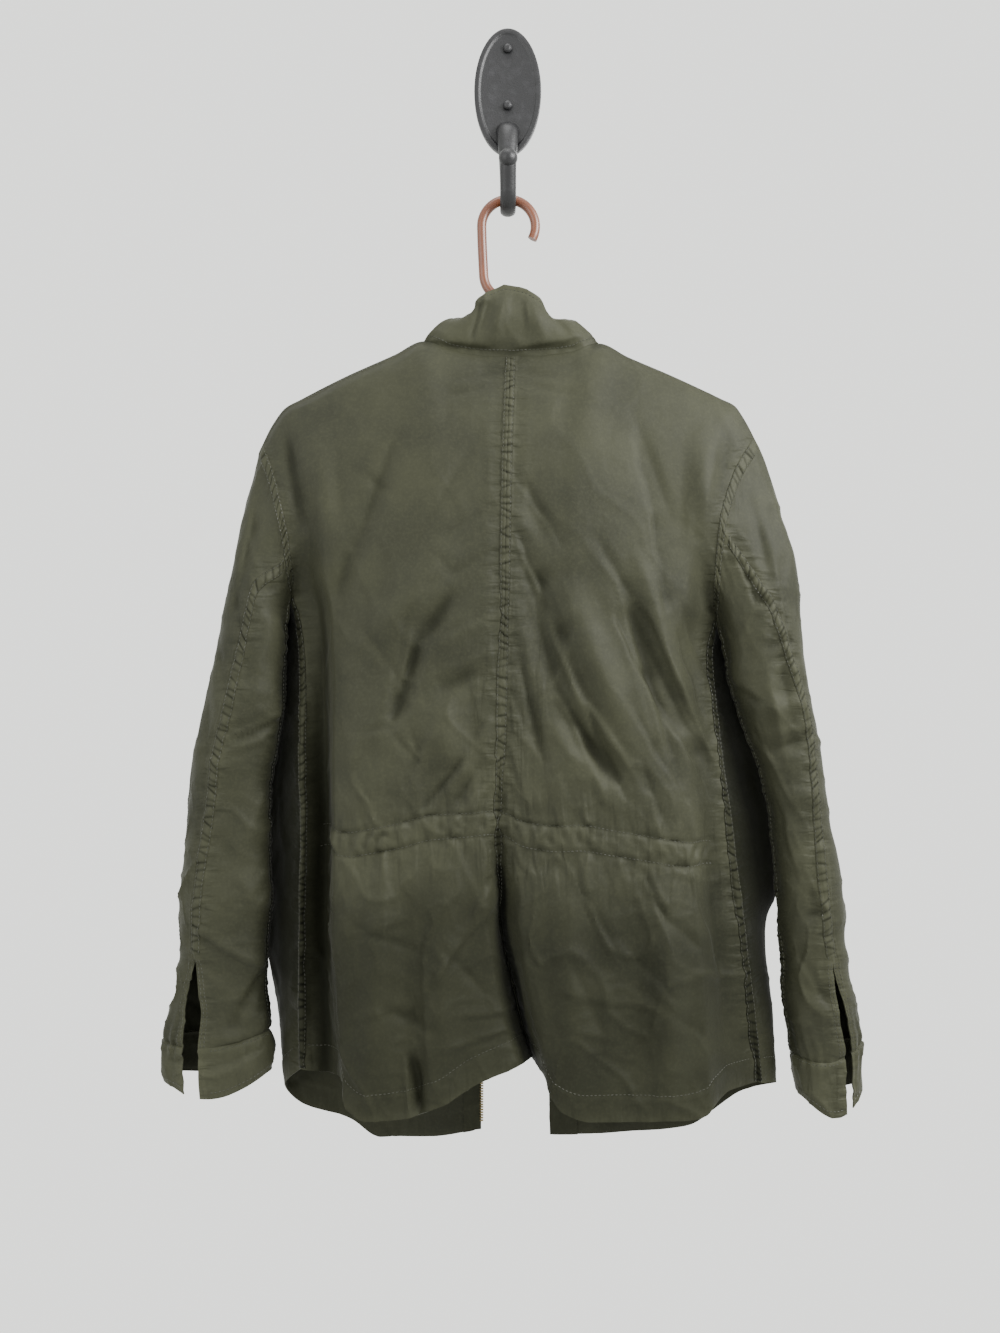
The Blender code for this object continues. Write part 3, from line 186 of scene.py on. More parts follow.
print("sections:", len(BACK_DEPTH_LEFT) - 1, "levels on each back panel")

# %% [markdown]
# Creases are listed one row each: where the line starts and ends (x
# and z), half its width, how far it stands out (or in, when negative), and how
# sharp its edge is, from 0, a soft trough, to 1, a pressed crease.

# %% Creases of the back
CREASES_LEFT = [
    ("shoulder crease", -0.208, -0.318, -0.194, -0.401, 0.014, -0.0050, 0.5),
    ("shoulder ridge", -0.178, -0.330, -0.166, -0.438, 0.022, 0.0040, 0.0),
    ("blade crease", -0.103, -0.330, -0.144, -0.432, 0.018, -0.0030, 0.2),
    ("blade crease low", -0.144, -0.432, -0.159, -0.480, 0.016, -0.0040, 0.2),
    ("long fold", -0.052, -0.475, -0.082, -0.517, 0.015, -0.0050, 0.6),
    ("long fold mid", -0.082, -0.517, -0.092, -0.549, 0.015, -0.0060, 0.7),
    ("long fold low", -0.092, -0.549, -0.106, -0.590, 0.015, -0.0060, 0.6),
    ("long fold end", -0.106, -0.590, -0.078, -0.619, 0.018, -0.0018, 0.2),
    ("swell above fold", -0.062, -0.441, -0.122, -0.514, 0.030, 0.0050, 0.0),
    ("swell under fold", -0.062, -0.569, -0.053, -0.632, 0.030, 0.0050, 0.0),
    ("seam dent", -0.069, -0.563, -0.025, -0.540, 0.018, -0.0040, 0.4),
    ("skirt ridge", -0.116, -0.731, -0.123, -0.920, 0.022, 0.0060, 0.0),
    ("skirt valley", -0.093, -0.753, -0.087, -0.929, 0.020, -0.0042, 0.1),
    ("skirt swell", -0.057, -0.731, -0.062, -0.911, 0.024, 0.0060, 0.0),
]
CREASES_RIGHT = [
    ("shoulder crease", 0.206, -0.318, 0.200, -0.400, 0.014, -0.0034, 0.5),
    ("shoulder ridge", 0.184, -0.330, 0.179, -0.420, 0.022, 0.0040, 0.0),
    ("neck diagonal", 0.120, -0.330, 0.138, -0.390, 0.020, -0.0012, 0.2),
    ("upper diagonal", 0.012, -0.380, 0.038, -0.423, 0.016, -0.0030, 0.3),
    ("wide valley top", 0.015, -0.450, 0.051, -0.580, 0.022, -0.0060, 0.3),
    ("wide valley low", 0.051, -0.580, 0.102, -0.644, 0.022, -0.0080, 0.3),
    ("swell beside valley", 0.056, -0.477, 0.104, -0.596, 0.026, 0.0060, 0.0),
    ("side diagonal", 0.105, -0.467, 0.156, -0.637, 0.016, -0.0050, 0.5),
    ("side diagonal outer", 0.114, -0.491, 0.184, -0.632, 0.016, -0.0050, 0.5),
    ("ridge between", 0.120, -0.441, 0.175, -0.605, 0.015, 0.0040, 0.2),
    ("skirt swell inner", 0.050, -0.740, 0.062, -0.920, 0.026, 0.0050, 0.0),
    ("skirt valley", 0.118, -0.760, 0.112, -0.929, 0.030, -0.0044, 0.0),
    ("skirt swell", 0.141, -0.731, 0.144, -0.925, 0.026, 0.0060, 0.0),
]
FINE_LEFT = [
    ("neck pucker", -0.050, -0.270, -0.008, -0.262, 0.006, -0.0010, 0.8),
    ("neck pucker low", -0.060, -0.288, -0.010, -0.274, 0.007, -0.0012, 0.8),
    ("seam pucker", -0.070, -0.424, -0.006, -0.388, 0.010, -0.0009, 0.7),
    ("seam pucker low", -0.076, -0.466, -0.006, -0.430, 0.010, -0.0009, 0.7),
    ("gather line", -0.040, -0.621, -0.078, -0.671, 0.009, -0.0024, 0.8),
    ("gather line two", -0.026, -0.628, -0.052, -0.668, 0.008, -0.0018, 0.8),
    ("fold lip", -0.088, -0.507, -0.100, -0.560, 0.006, 0.0022, 0.9),
    ("fold branch", -0.090, -0.560, -0.136, -0.500, 0.009, -0.0008, 0.7),
    ("fold branch low", -0.106, -0.590, -0.135, -0.600, 0.007, -0.0012, 0.8),
    ("blade cross", -0.150, -0.352, -0.104, -0.380, 0.010, -0.0008, 0.7),
    ("long diagonal", -0.030, -0.330, -0.086, -0.430, 0.012, -0.0010, 0.6),
    ("hem fold", -0.083, -0.894, -0.078, -0.945, 0.007, -0.0045, 0.9),
    ("hem fold lip", -0.093, -0.890, -0.089, -0.945, 0.006, 0.0025, 0.8),
    ("skirt cross", -0.140, -0.770, -0.070, -0.800, 0.010, -0.0012, 0.8),
    ("skirt cross two", -0.060, -0.790, -0.020, -0.835, 0.010, -0.0016, 0.8),
    ("skirt cross three", -0.120, -0.840, -0.060, -0.870, 0.010, -0.0014, 0.8),
]
FINE_RIGHT = [
    ("neck pucker", 0.012, -0.262, 0.052, -0.268, 0.006, -0.0010, 0.8),
    ("neck pucker low", 0.014, -0.276, 0.060, -0.284, 0.007, -0.0012, 0.8),
    ("neck crease", 0.116, -0.300, 0.150, -0.400, 0.010, -0.0008, 0.7),
    ("seam diagonal", 0.010, -0.530, 0.033, -0.631, 0.009, -0.0030, 0.8),
    ("valley lip", 0.030, -0.470, 0.064, -0.572, 0.007, 0.0024, 0.8),
    ("valley floor", 0.046, -0.560, 0.092, -0.640, 0.008, -0.0026, 0.9),
    ("valley lip low", 0.062, -0.560, 0.118, -0.640, 0.007, 0.0022, 0.8),
    ("second diagonal", 0.010, -0.440, 0.048, -0.520, 0.008, -0.0020, 0.8),
    ("side diagonal edge", 0.098, -0.460, 0.150, -0.640, 0.006, 0.0018, 0.9),
    ("outer diagonal edge", 0.128, -0.490, 0.192, -0.628, 0.006, 0.0018, 0.9),
    ("under blade", 0.080, -0.420, 0.140, -0.520, 0.010, -0.0014, 0.7),
    ("side diagonal three", 0.160, -0.480, 0.194, -0.560, 0.008, -0.0018, 0.8),
    ("gather reach", 0.080, -0.600, 0.110, -0.664, 0.007, -0.0018, 0.9),
    ("gather reach two", 0.120, -0.620, 0.142, -0.680, 0.007, -0.0014, 0.9),
    ("skirt diagonal", 0.060, -0.730, 0.100, -0.800, 0.010, -0.0020, 0.8),
    ("skirt diagonal two", 0.120, -0.740, 0.180, -0.800, 0.010, -0.0016, 0.8),
    ("skirt diagonal three", 0.056, -0.800, 0.090, -0.880, 0.010, -0.0016, 0.8),
    ("skirt diagonal four", 0.120, -0.830, 0.190, -0.880, 0.010, -0.0014, 0.8),
    ("skirt side fold", 0.190, -0.730, 0.204, -0.880, 0.012, -0.0030, 0.6),
]
print("creases by hand:", len(CREASES_LEFT + CREASES_RIGHT + FINE_LEFT + FINE_RIGHT))

# %% [markdown]
# Where cloth laps over itself, one side of a line stands above the other and
# the step is steep. Each row gives the line's two ends, how far the raised
# cloth takes to sink back, and the step's height, all in metres.

# %% Laps
LAPS_LEFT = [
    ("seam fold", -0.020, -0.588, -0.045, -0.632, 0.016, 0.0026),
    ("seam fold end", -0.043, -0.629, -0.081, -0.673, 0.014, 0.0024),
    ("long fold edge", -0.061, -0.439, -0.096, -0.497, 0.018, -0.0012),
    ("long fold edge low", -0.093, -0.491, -0.108, -0.560, 0.016, -0.0014),
    ("blade edge", -0.102, -0.309, -0.145, -0.439, 0.022, -0.0008),
    ("middle hook", -0.104, -0.595, -0.082, -0.621, 0.010, 0.0018),
    ("middle hook fall", -0.069, -0.595, -0.089, -0.644, 0.010, 0.0018),
    ("seam rise", -0.005, -0.487, -0.063, -0.513, 0.014, 0.0016),
    ("seam rise low", -0.008, -0.518, -0.056, -0.539, 0.012, 0.0014),
    ("seam gather", -0.009, -0.625, -0.032, -0.668, 0.008, 0.0018),
    ("seam gather two", -0.013, -0.640, -0.052, -0.675, 0.008, 0.0016),
    ("skirt sweep", -0.018, -0.737, -0.067, -0.818, 0.016, 0.0026),
    ("skirt sweep long", -0.015, -0.760, -0.089, -0.848, 0.014, -0.0018),
    ("skirt small fold", -0.043, -0.854, 0.004, -0.852, 0.010, 0.0020),
    ("skirt small fold two", -0.052, -0.882, -0.002, -0.869, 0.010, 0.0018),
    ("skirt cross lap", -0.145, -0.783, -0.093, -0.768, 0.012, 0.0014),
    ("skirt cross lap low", -0.142, -0.858, -0.097, -0.845, 0.012, 0.0014),
    ("hem slit", -0.090, -0.893, -0.084, -0.938, 0.012, -0.0060),
]
LAPS_RIGHT = [
    ("pleat by seam", 0.007, -0.420, 0.026, -0.467, 0.020, -0.0034),
    ("pleat by seam mid", 0.023, -0.459, 0.044, -0.513, 0.022, -0.0040),
    ("pleat by seam low", 0.041, -0.508, 0.078, -0.599, 0.020, -0.0034),
    ("small crease", 0.004, -0.363, 0.031, -0.402, 0.010, -0.0018),
    ("small crease two", 0.015, -0.372, 0.048, -0.428, 0.010, -0.0016),
    ("second pleat", 0.097, -0.495, 0.125, -0.551, 0.016, -0.0030),
    ("second pleat low", 0.122, -0.545, 0.152, -0.601, 0.016, -0.0028),
    ("outer pleat", 0.156, -0.508, 0.182, -0.588, 0.014, -0.0026),
    ("blade shade", 0.115, -0.329, 0.134, -0.411, 0.018, -0.0014),
    ("blade shade low", 0.132, -0.405, 0.141, -0.482, 0.018, -0.0016),
    ("inner run", 0.044, -0.569, 0.064, -0.605, 0.010, 0.0020),
    ("inner run low", 0.061, -0.601, 0.088, -0.664, 0.010, 0.0020),
    ("middle run", 0.070, -0.569, 0.097, -0.608, 0.011, -0.0022),
    ("middle run low", 0.093, -0.604, 0.123, -0.651, 0.011, -0.0020),
    ("outer run", 0.108, -0.569, 0.134, -0.616, 0.012, -0.0022),
    ("outer run low", 0.130, -0.611, 0.167, -0.664, 0.012, -0.0020),
    ("side run", 0.138, -0.569, 0.169, -0.621, 0.012, -0.0018),
    ("side run low", 0.165, -0.614, 0.199, -0.690, 0.012, -0.0018),
    ("seam run", 0.001, -0.614, 0.017, -0.662, 0.008, 0.0018),
    ("seam run upper", 0.000, -0.560, 0.020, -0.606, 0.008, -0.0016),
    ("skirt fan", 0.065, -0.716, 0.074, -0.761, 0.010, 0.0020),
    ("skirt fan low", 0.072, -0.757, 0.089, -0.794, 0.010, 0.0018),
    ("skirt fan outer", 0.123, -0.725, 0.139, -0.766, 0.012, -0.0024),
    ("skirt fan outer low", 0.138, -0.763, 0.152, -0.798, 0.012, -0.0020),
    ("skirt cross", 0.050, -0.833, 0.134, -0.848, 0.014, 0.0018),
    ("skirt cross low", 0.061, -0.867, 0.091, -0.876, 0.010, 0.0016),
    ("skirt diagonal", 0.095, -0.783, 0.149, -0.839, 0.012, -0.0016),
    ("skirt side", 0.178, -0.755, 0.193, -0.811, 0.012, -0.0020),
]
SLEEVE_LAPS_LEFT = [
    ("elbow point", -0.257, -0.605, -0.204, -0.579, 0.020, 0.0050),
    ("elbow point under", -0.253, -0.618, -0.209, -0.597, 0.012, 0.0024),
    ("forearm lap", -0.229, -0.653, -0.253, -0.709, 0.012, 0.0024),
    ("forearm lap low", -0.223, -0.718, -0.257, -0.766, 0.012, 0.0022),
    ("wrist lap", -0.249, -0.811, -0.223, -0.839, 0.010, 0.0022),
    ("upper arm lap", -0.240, -0.402, -0.257, -0.485, 0.014, -0.0022),
    ("upper arm lap two", -0.223, -0.495, -0.238, -0.569, 0.010, 0.0018),
    ("vent fold", -0.286, -0.786, -0.231, -0.822, 0.016, 0.0045),
    ("wrist edge", -0.231, -0.825, -0.261, -0.872, 0.014, -0.0045),
    ("wrist gather", -0.231, -0.842, -0.246, -0.868, 0.007, 0.0024),
    ("wrist gather two", -0.223, -0.851, -0.237, -0.879, 0.007, 0.0024),
    ("forearm point left", -0.253, -0.735, -0.237, -0.761, 0.012, 0.0036),
    ("forearm point right", -0.223, -0.736, -0.236, -0.761, 0.010, 0.0030),
    ("cuff roll", -0.302, -0.900, -0.246, -0.885, 0.012, 0.0034),
    ("cuff roll low", -0.283, -0.915, -0.231, -0.898, 0.012, -0.0030),
]
SLEEVE_LAPS_RIGHT = [
    ("under arm lap", 0.204, -0.418, 0.227, -0.478, 0.014, -0.0030),
    ("elbow lap", 0.199, -0.539, 0.232, -0.569, 0.012, 0.0030),
    ("elbow lap two", 0.218, -0.588, 0.249, -0.625, 0.012, -0.0024),
    ("outer lap", 0.249, -0.439, 0.262, -0.532, 0.014, -0.0022),
    ("forearm lap", 0.251, -0.662, 0.268, -0.733, 0.012, 0.0022),
    ("wrist lap", 0.271, -0.811, 0.299, -0.858, 0.010, -0.0022),
]
print("laps by hand:", len(LAPS_LEFT + LAPS_RIGHT + SLEEVE_LAPS_LEFT + SLEEVE_LAPS_RIGHT))

# %% [markdown]
# The fine cloth uses the same marks as the solids, with each step between two
# marks cut into several. A seam point of the solid is then also a seam point
# here, and neighbouring pieces share their edges exactly.

# %% Levels and columns
BODY_V = [
    0, 0.03, 0.065, 0.10, 0.14, 0.18, 0.22, 0.26, 0.29, 0.32, 0.353, 0.384,
    0.415, 0.45, 0.49, 0.53, 0.57, 0.61, 0.65, 0.69, 0.72,
    0.76, 0.80, 0.84, 0.88, 0.92, 0.955, 0.985, 1,
]
NECK_U = 0.36
SHOULDER_U = [NECK_U, 0.43, 0.50, 0.57, 0.64, 0.70, 0.76, 0.81, 0.85, 0.89, 0.94, 1]
BACK_U = [0, 0.035, 0.075, 0.12, 0.18, 0.24, 0.30] + SHOULDER_U
FRONT_U = [0, 0.07, 0.14, 0.22, 0.30] + SHOULDER_U
ROW_CUTS = 9
COLUMN_CUTS = 6
RING_CUTS = ROW_CUTS
SLEEVE_CUTS = 7


def refine(marks, cuts):
    """Marks with every step between them cut into equal parts."""
    fine = []
    for low, high in zip(marks, marks[1:]):
        fine += [low + (high - low) * k / cuts for k in range(cuts)]
    return np.array(fine + [marks[-1]])


body_levels = refine(BODY_V, ROW_CUTS)
back_columns = refine(BACK_U, COLUMN_CUTS)
front_columns = refine(FRONT_U, COLUMN_CUTS)
UNDERARM = BODY_V.index(UNDERARM_V) * ROW_CUTS
WAIST_LOW = BODY_V.index(0.353) * ROW_CUTS
WAIST_HIGH = BODY_V.index(0.384) * ROW_CUTS
TAPE_TOP = BODY_V.index(0.985) * ROW_CUTS
SHOULDER_POINTS = (len(SHOULDER_U) - 1) * COLUMN_CUTS + 1
NECK_BACK = (len(BACK_U) - len(SHOULDER_U)) * COLUMN_CUTS + 1
NECK_FRONT = (len(FRONT_U) - len(SHOULDER_U)) * COLUMN_CUTS + 1
print("net of a back panel:", len(body_levels), "by", len(back_columns))

# %% [markdown]
# Sleeves are tubes of rings. Each row below gives a level down the arm, the
# outer and the inner edge, how far the tube's middle stands off the wall and
# half its thickness. The seam tables say where the back seam crosses the arm.

# %% Sleeve, cuff and collar tables
SLEEVE_LEFT = [
    (0.00, -0.235, -0.331, -0.205, -0.473, 0.052, 0.030),
    (0.04, -0.244, -0.366, -0.2090, -0.487, 0.052, 0.032),
    (0.08, -0.252, -0.399, -0.2115, -0.502, 0.052, 0.033),
    (0.13, -0.258, -0.437, -0.212, -0.520, 0.052, 0.034),
    (0.18, -0.266, -0.475, -0.213, -0.543, 0.052, 0.034),
    (0.25, -0.275, -0.522, -0.214, -0.574, 0.052, 0.033),
    (0.33, -0.287, -0.574, -0.219, -0.612, 0.052, 0.031),
    (0.41, -0.297, -0.622, -0.225, -0.655, 0.051, 0.031),
    (0.49, -0.304, -0.669, -0.225, -0.697, 0.051, 0.031),
    (0.58, -0.309, -0.716, -0.227, -0.735, 0.050, 0.030),
    (0.67, -0.313, -0.764, -0.227, -0.773, 0.050, 0.030),
    (0.76, -0.313, -0.806, -0.228, -0.806, 0.050, 0.029),
    (0.86, -0.314, -0.840, -0.229, -0.836, 0.050, 0.029),
    (0.94, -0.321, -0.866, -0.226, -0.860, 0.050, 0.028),
    (1.00, -0.327, -0.890, -0.225, -0.882, 0.050, 0.028),
    (1.04, -0.327, -0.904, -0.223, -0.897, 0.050, 0.029),
    (1.10, -0.322, -0.926, -0.228, -0.919, 0.050, 0.030),
]
SLEEVE_RIGHT = [
    (0.00, 0.236, -0.325, 0.197, -0.496, 0.052, 0.030),
    (0.04, 0.251, -0.362, 0.2035, -0.512, 0.052, 0.032),
    (0.08, 0.260, -0.395, 0.2075, -0.529, 0.052, 0.033),
    (0.13, 0.271, -0.437, 0.211, -0.551, 0.052, 0.034),
    (0.18, 0.276, -0.475, 0.217, -0.572, 0.052, 0.034),
    (0.25, 0.280, -0.522, 0.225, -0.598, 0.052, 0.033),
    (0.33, 0.288, -0.574, 0.238, -0.631, 0.052, 0.031),
    (0.41, 0.296, -0.622, 0.245, -0.664, 0.051, 0.031),
    (0.49, 0.304, -0.669, 0.249, -0.702, 0.051, 0.031),
    (0.58, 0.311, -0.716, 0.254, -0.740, 0.050, 0.030),
    (0.67, 0.318, -0.764, 0.258, -0.778, 0.050, 0.030),
    (0.76, 0.322, -0.806, 0.261, -0.814, 0.050, 0.029),
    (0.86, 0.327, -0.846, 0.264, -0.854, 0.050, 0.028),
    (0.94, 0.332, -0.872, 0.268, -0.883, 0.050, 0.027),
    (1.00, 0.336, -0.892, 0.271, -0.905, 0.050, 0.027),
    (1.04, 0.336, -0.910, 0.272, -0.918, 0.050, 0.027),
    (1.10, 0.336, -0.937, 0.275, -0.938, 0.050, 0.027),
]
SLEEVE_V = [
    0, 0.035, 0.07, 0.11, 0.15, 0.19, 0.23, 0.27, 0.31, 0.34, 0.37, 0.40, 0.44,
    0.48, 0.53, 0.58, 0.63, 0.68, 0.73, 0.77, 0.82, 0.88, 0.94, 1.00,
]
CUFF_V = [1.00, 1.035, 1.07, 1.10]

# Where the back seam runs across the sleeve, outer edge 0 to inner edge 1
SLEEVE_SEAM_LEFT = [
    (0.00, 0.74), (0.055, 0.52), (0.21, 0.42), (0.255, 0.39), (0.32, 0.38),
    (0.36, 0.35), (0.48, 0.33), (0.67, 0.27), (0.76, 0.25), (0.86, 0.26),
    (0.94, 0.32), (1.00, 0.34), (1.10, 0.34),
]
SLEEVE_SEAM_RIGHT = [
    (0.00, 0.49), (0.08, 0.48), (0.13, 0.43), (0.215, 0.32), (0.28, 0.23),
    (0.33, 0.21), (0.45, 0.28), (0.58, 0.36), (0.67, 0.38), (0.80, 0.32),
    (1.00, 0.28), (1.10, 0.28),
]
SEAM_COLUMN = {"left": 6 * RING_CUTS, "right": 4 * RING_CUTS}
CUFF_SAG = {"left": (0.016, 0.010), "right": (0.020, 0.012)}
SLEEVE_CREASES_LEFT = [
    ("elbow crease", -0.263, -0.599, -0.201, -0.580, 0.014, -0.0080, 0.5),
    ("elbow roll", -0.268, -0.569, -0.205, -0.558, 0.018, 0.0045, 0.0),
    ("under elbow", -0.282, -0.634, -0.229, -0.623, 0.018, 0.0040, 0.0),
    ("outer crease", -0.277, -0.560, -0.282, -0.649, 0.014, -0.0030, 0.6),
    ("forearm valley", -0.254, -0.662, -0.261, -0.755, 0.016, -0.0035, 0.4),
    ("wrist crease", -0.301, -0.811, -0.236, -0.834, 0.016, -0.0040, 0.5),
    ("head crease", -0.230, -0.354, -0.251, -0.476, 0.012, -0.0030, 0.6),
    ("upper arm crease", -0.262, -0.440, -0.238, -0.540, 0.010, -0.0020, 0.8),
    ("upper arm line", -0.276, -0.480, -0.262, -0.560, 0.008, -0.0014, 0.9),
    ("elbow small", -0.256, -0.606, -0.232, -0.602, 0.006, -0.0030, 0.9),
    ("elbow edge", -0.262, -0.591, -0.208, -0.570, 0.008, 0.0050, 0.9),
    ("under the point", -0.246, -0.606, -0.206, -0.586, 0.011, -0.0050, 0.7),
    ("wrist zigzag", -0.236, -0.770, -0.262, -0.792, 0.010, -0.0030, 0.8),
    ("wrist zigzag two", -0.262, -0.792, -0.234, -0.815, 0.010, -0.0030, 0.8),
    ("wrist zigzag three", -0.234, -0.815, -0.266, -0.846, 0.010, -0.0030, 0.8),
    ("forearm cross", -0.296, -0.690, -0.250, -0.716, 0.010, -0.0018, 0.8),
    ("forearm cross low", -0.300, -0.740, -0.248, -0.772, 0.010, -0.0018, 0.8),
    ("forearm line", -0.284, -0.650, -0.290, -0.760, 0.008, -0.0014, 0.8),
    ("wrist line", -0.306, -0.850, -0.262, -0.872, 0.008, -0.0016, 0.8),
    ("cuff crumple", -0.312, -0.905, -0.268, -0.900, 0.010, -0.0028, 0.7),
    ("cuff crumple side", -0.262, -0.880, -0.250, -0.925, 0.010, -0.0028, 0.7),
]
SLEEVE_CREASES_RIGHT = [
    ("elbow crease", 0.285, -0.602, 0.236, -0.618, 0.014, -0.0070, 0.5),
    ("elbow roll", 0.283, -0.569, 0.227, -0.583, 0.018, 0.0045, 0.0),
    ("under elbow", 0.295, -0.653, 0.248, -0.662, 0.016, 0.0040, 0.0),
    ("forearm valley", 0.281, -0.690, 0.283, -0.783, 0.016, -0.0035, 0.3),
    ("wrist crease", 0.313, -0.848, 0.264, -0.834, 0.016, -0.0040, 0.5),
    ("head crease", 0.224, -0.354, 0.245, -0.476, 0.012, -0.0030, 0.6),
    ("upper arm crease", 0.262, -0.420, 0.238, -0.530, 0.010, -0.0020, 0.8),
    ("upper arm line", 0.276, -0.470, 0.250, -0.560, 0.008, -0.0014, 0.9),
    ("outer line", 0.290, -0.560, 0.300, -0.660, 0.009, -0.0018, 0.8),
    ("forearm cross", 0.306, -0.690, 0.264, -0.712, 0.010, -0.0016, 0.8),
    ("forearm cross low", 0.312, -0.752, 0.268, -0.776, 0.010, -0.0016, 0.8),
    ("forearm line", 0.300, -0.760, 0.310, -0.860, 0.008, -0.0014, 0.8),
    ("cuff crumple", 0.320, -0.905, 0.290, -0.925, 0.010, -0.0026, 0.7),
    ("seam valley", 0.250, -0.520, 0.262, -0.590, 0.013, -0.0040, 0.5),
    ("seam valley lip", 0.238, -0.545, 0.256, -0.618, 0.010, 0.0035, 0.5),
    ("shoulder hollow", 0.232, -0.350, 0.262, -0.440, 0.014, -0.0040, 0.3),
    ("shoulder fall", 0.262, -0.440, 0.278, -0.520, 0.014, -0.0040, 0.4),
    ("under seam cross", 0.226, -0.470, 0.252, -0.492, 0.009, -0.0030, 0.8),
    ("under seam cross two", 0.238, -0.520, 0.262, -0.512, 0.009, -0.0028, 0.8),
]
COLLAR_PLACES = [0.00, 0.25, 0.50, 0.75, 1.00]
COLLAR_STEPS = [
    (0.00, (0, 0, 0), (0, 0, 0), (0, 0, 0), (0, 0, 0), (0, 0, 0)),
    (0.25, (0.001, 0.006, 0.017), (-0.004, 0.005, 0.014), (-0.008, 0.003, 0.009),
     (-0.005, -0.006, 0.016), (0.001, -0.008, 0.016)),
    (0.50, (0.002, 0.008, 0.035), (-0.008, 0.006, 0.028), (-0.016, 0.003, 0.016),
     (-0.009, -0.006, 0.033), (0.001, -0.009, 0.032)),
    (0.75, (0.004, 0.006, 0.051), (-0.011, 0.004, 0.042), (-0.024, 0.001, 0.021),
     (-0.014, -0.003, 0.048), (0.001, -0.008, 0.047)),
    (1.00, (0.006, 0.003, 0.067), (-0.013, 0.002, 0.053), (-0.032, -0.003, 0.024),
     (-0.018, 0.001, 0.056), (0.001, -0.005, 0.061)),
]
COLLAR_W = [0, 0.16, 0.34, 0.52, 0.70, 0.86, 1]
cuff_levels = refine(CUFF_V, SLEEVE_CUTS)
sleeve_levels = np.concatenate([refine(SLEEVE_V, SLEEVE_CUTS), cuff_levels[1:]])
SLEEVE_END = (len(SLEEVE_V) - 1) * SLEEVE_CUTS
print("rings down a sleeve:", len(sleeve_levels))

# %% [markdown]
# Small pieces of arithmetic do all the shaping. One draws a smooth curve
# through a table without overshooting, so a straight seam stays straight.
# Others add up the height of every crease at a point, and make the soft
# random relief of washed cloth.

# %% Smooth tables and crease heights


def smooth(rows, t):
    """Monotone cubic through a table whose first column is the parameter."""
    table = np.array(rows, float)
    xs = table[:, 0]
    ys = table[:, 1:]
    step = np.diff(xs)[:, None]
    slope = np.diff(ys, axis=0) / step
    tangent = np.zeros_like(ys)
    tangent[0] = slope[0]
    tangent[-1] = slope[-1]
    before = slope[:-1]
    after = slope[1:]
    agree = before * after > 0
    total = np.where(agree, before + after, 1.0)
    tangent[1:-1] = np.where(agree, 2 * before * after / total, 0.0)
    t = np.atleast_1d(np.array(t, float))
    i = np.clip(np.searchsorted(xs, t, side="right") - 1, 0, len(xs) - 2)
    h = step[i]
    f = ((t - xs[i]) / step[i, 0])[:, None]
    rise = ys[i + 1] - ys[i]
    start = tangent[i] * h
    end = tangent[i + 1] * h
    a = start + end - 2 * rise
    b = 3 * rise - 2 * start - end
    return ys[i] + f * (start + f * (b + f * a))


def depth_grid(table, levels, columns):
    """Depths at every level and column of a panel, from its table of sections."""
    heads = table[0][1:]
    rows = []
    for row in table[1:]:
        section = list(zip(heads, row[1:]))
        rows.append((row[0], *smooth(section, columns)[:, 0]))
    return smooth(rows, levels)


def crease_height(x, z, rows, tapered=False):
    """Height of a table of creases at every point; tapered ones die away."""
    total = np.zeros_like(x)
    for _, x0, z0, x1, z1, half, height, sharp in rows:
        dx = x1 - x0
        dz = z1 - z0
        along = ((x - x0) * dx + (z - z0) * dz) / (dx * dx + dz * dz)
        held = np.clip(along, 0, 1)
        away = np.clip(np.hypot(x - x0 - held * dx, z - z0 - held * dz) / half, 0, 1)
        soft = 0.5 + 0.5 * np.cos(np.pi * away)
        pressed = (1 - away) ** 2
        if tapered:
            fade = (1 - held) ** 1.2
        else:
            fade = np.sin(np.pi * (0.06 + 0.88 * held)) ** 0.7
        total = total + height * fade * (soft * (1 - sharp) + pressed * sharp)
    return total


def ease(value):
    """Smooth step from 0 to 1."""
    t = np.clip(value, 0, 1)
    return t * t * (3 - 2 * t)


def noise(x, z, size, seed):
    """Smooth random surface from -1 to 1, its bumps about `size` metres across."""
    table = np.random.RandomState(seed).uniform(-1, 1, (64, 64))
    u = x / size + 117.3
    v = z / size + 131.7
    i = np.floor(u).astype(int)
    j = np.floor(v).astype(int)
    f = ease(u - i)
    g = ease(v - j)
    low = table[i % 64, j % 64] * (1 - f) + table[(i + 1) % 64, j % 64] * f
    high = table[i % 64, (j + 1) % 64] * (1 - f) + table[(i + 1) % 64, (j + 1) % 64] * f
    return low * (1 - g) + high * g


# How wide a lap's step is, how far it runs past its ends and how slowly it fades there
LAP_EDGE = 0.0026
LAP_RUN_OUT = 0.012
LAP_FADE = 0.020


def lap_height(x, z, rows):
    """Steps in the cloth: steep at the line, sinking back slowly on its left."""
    total = np.zeros_like(x)
    wander = 0.0016 * noise(x, z, 0.018, 77)
    for _, x0, z0, x1, z1, reach, height in rows:
        dx = x1 - x0
        dz = z1 - z0
        size = math.hypot(dx, dz)
        along = ((x - x0) * dx + (z - z0) * dz) / size
        across = (dx * (z - z0) - dz * (x - x0)) / size + wander
        fade = ease((along + LAP_RUN_OUT) / LAP_FADE) * ease((size + LAP_RUN_OUT - along) / LAP_FADE)
        step = ease((across + LAP_EDGE) / (2 * LAP_EDGE)) * np.exp(-np.maximum(across, 0) / reach)
        total = total + height * fade * step
    return total


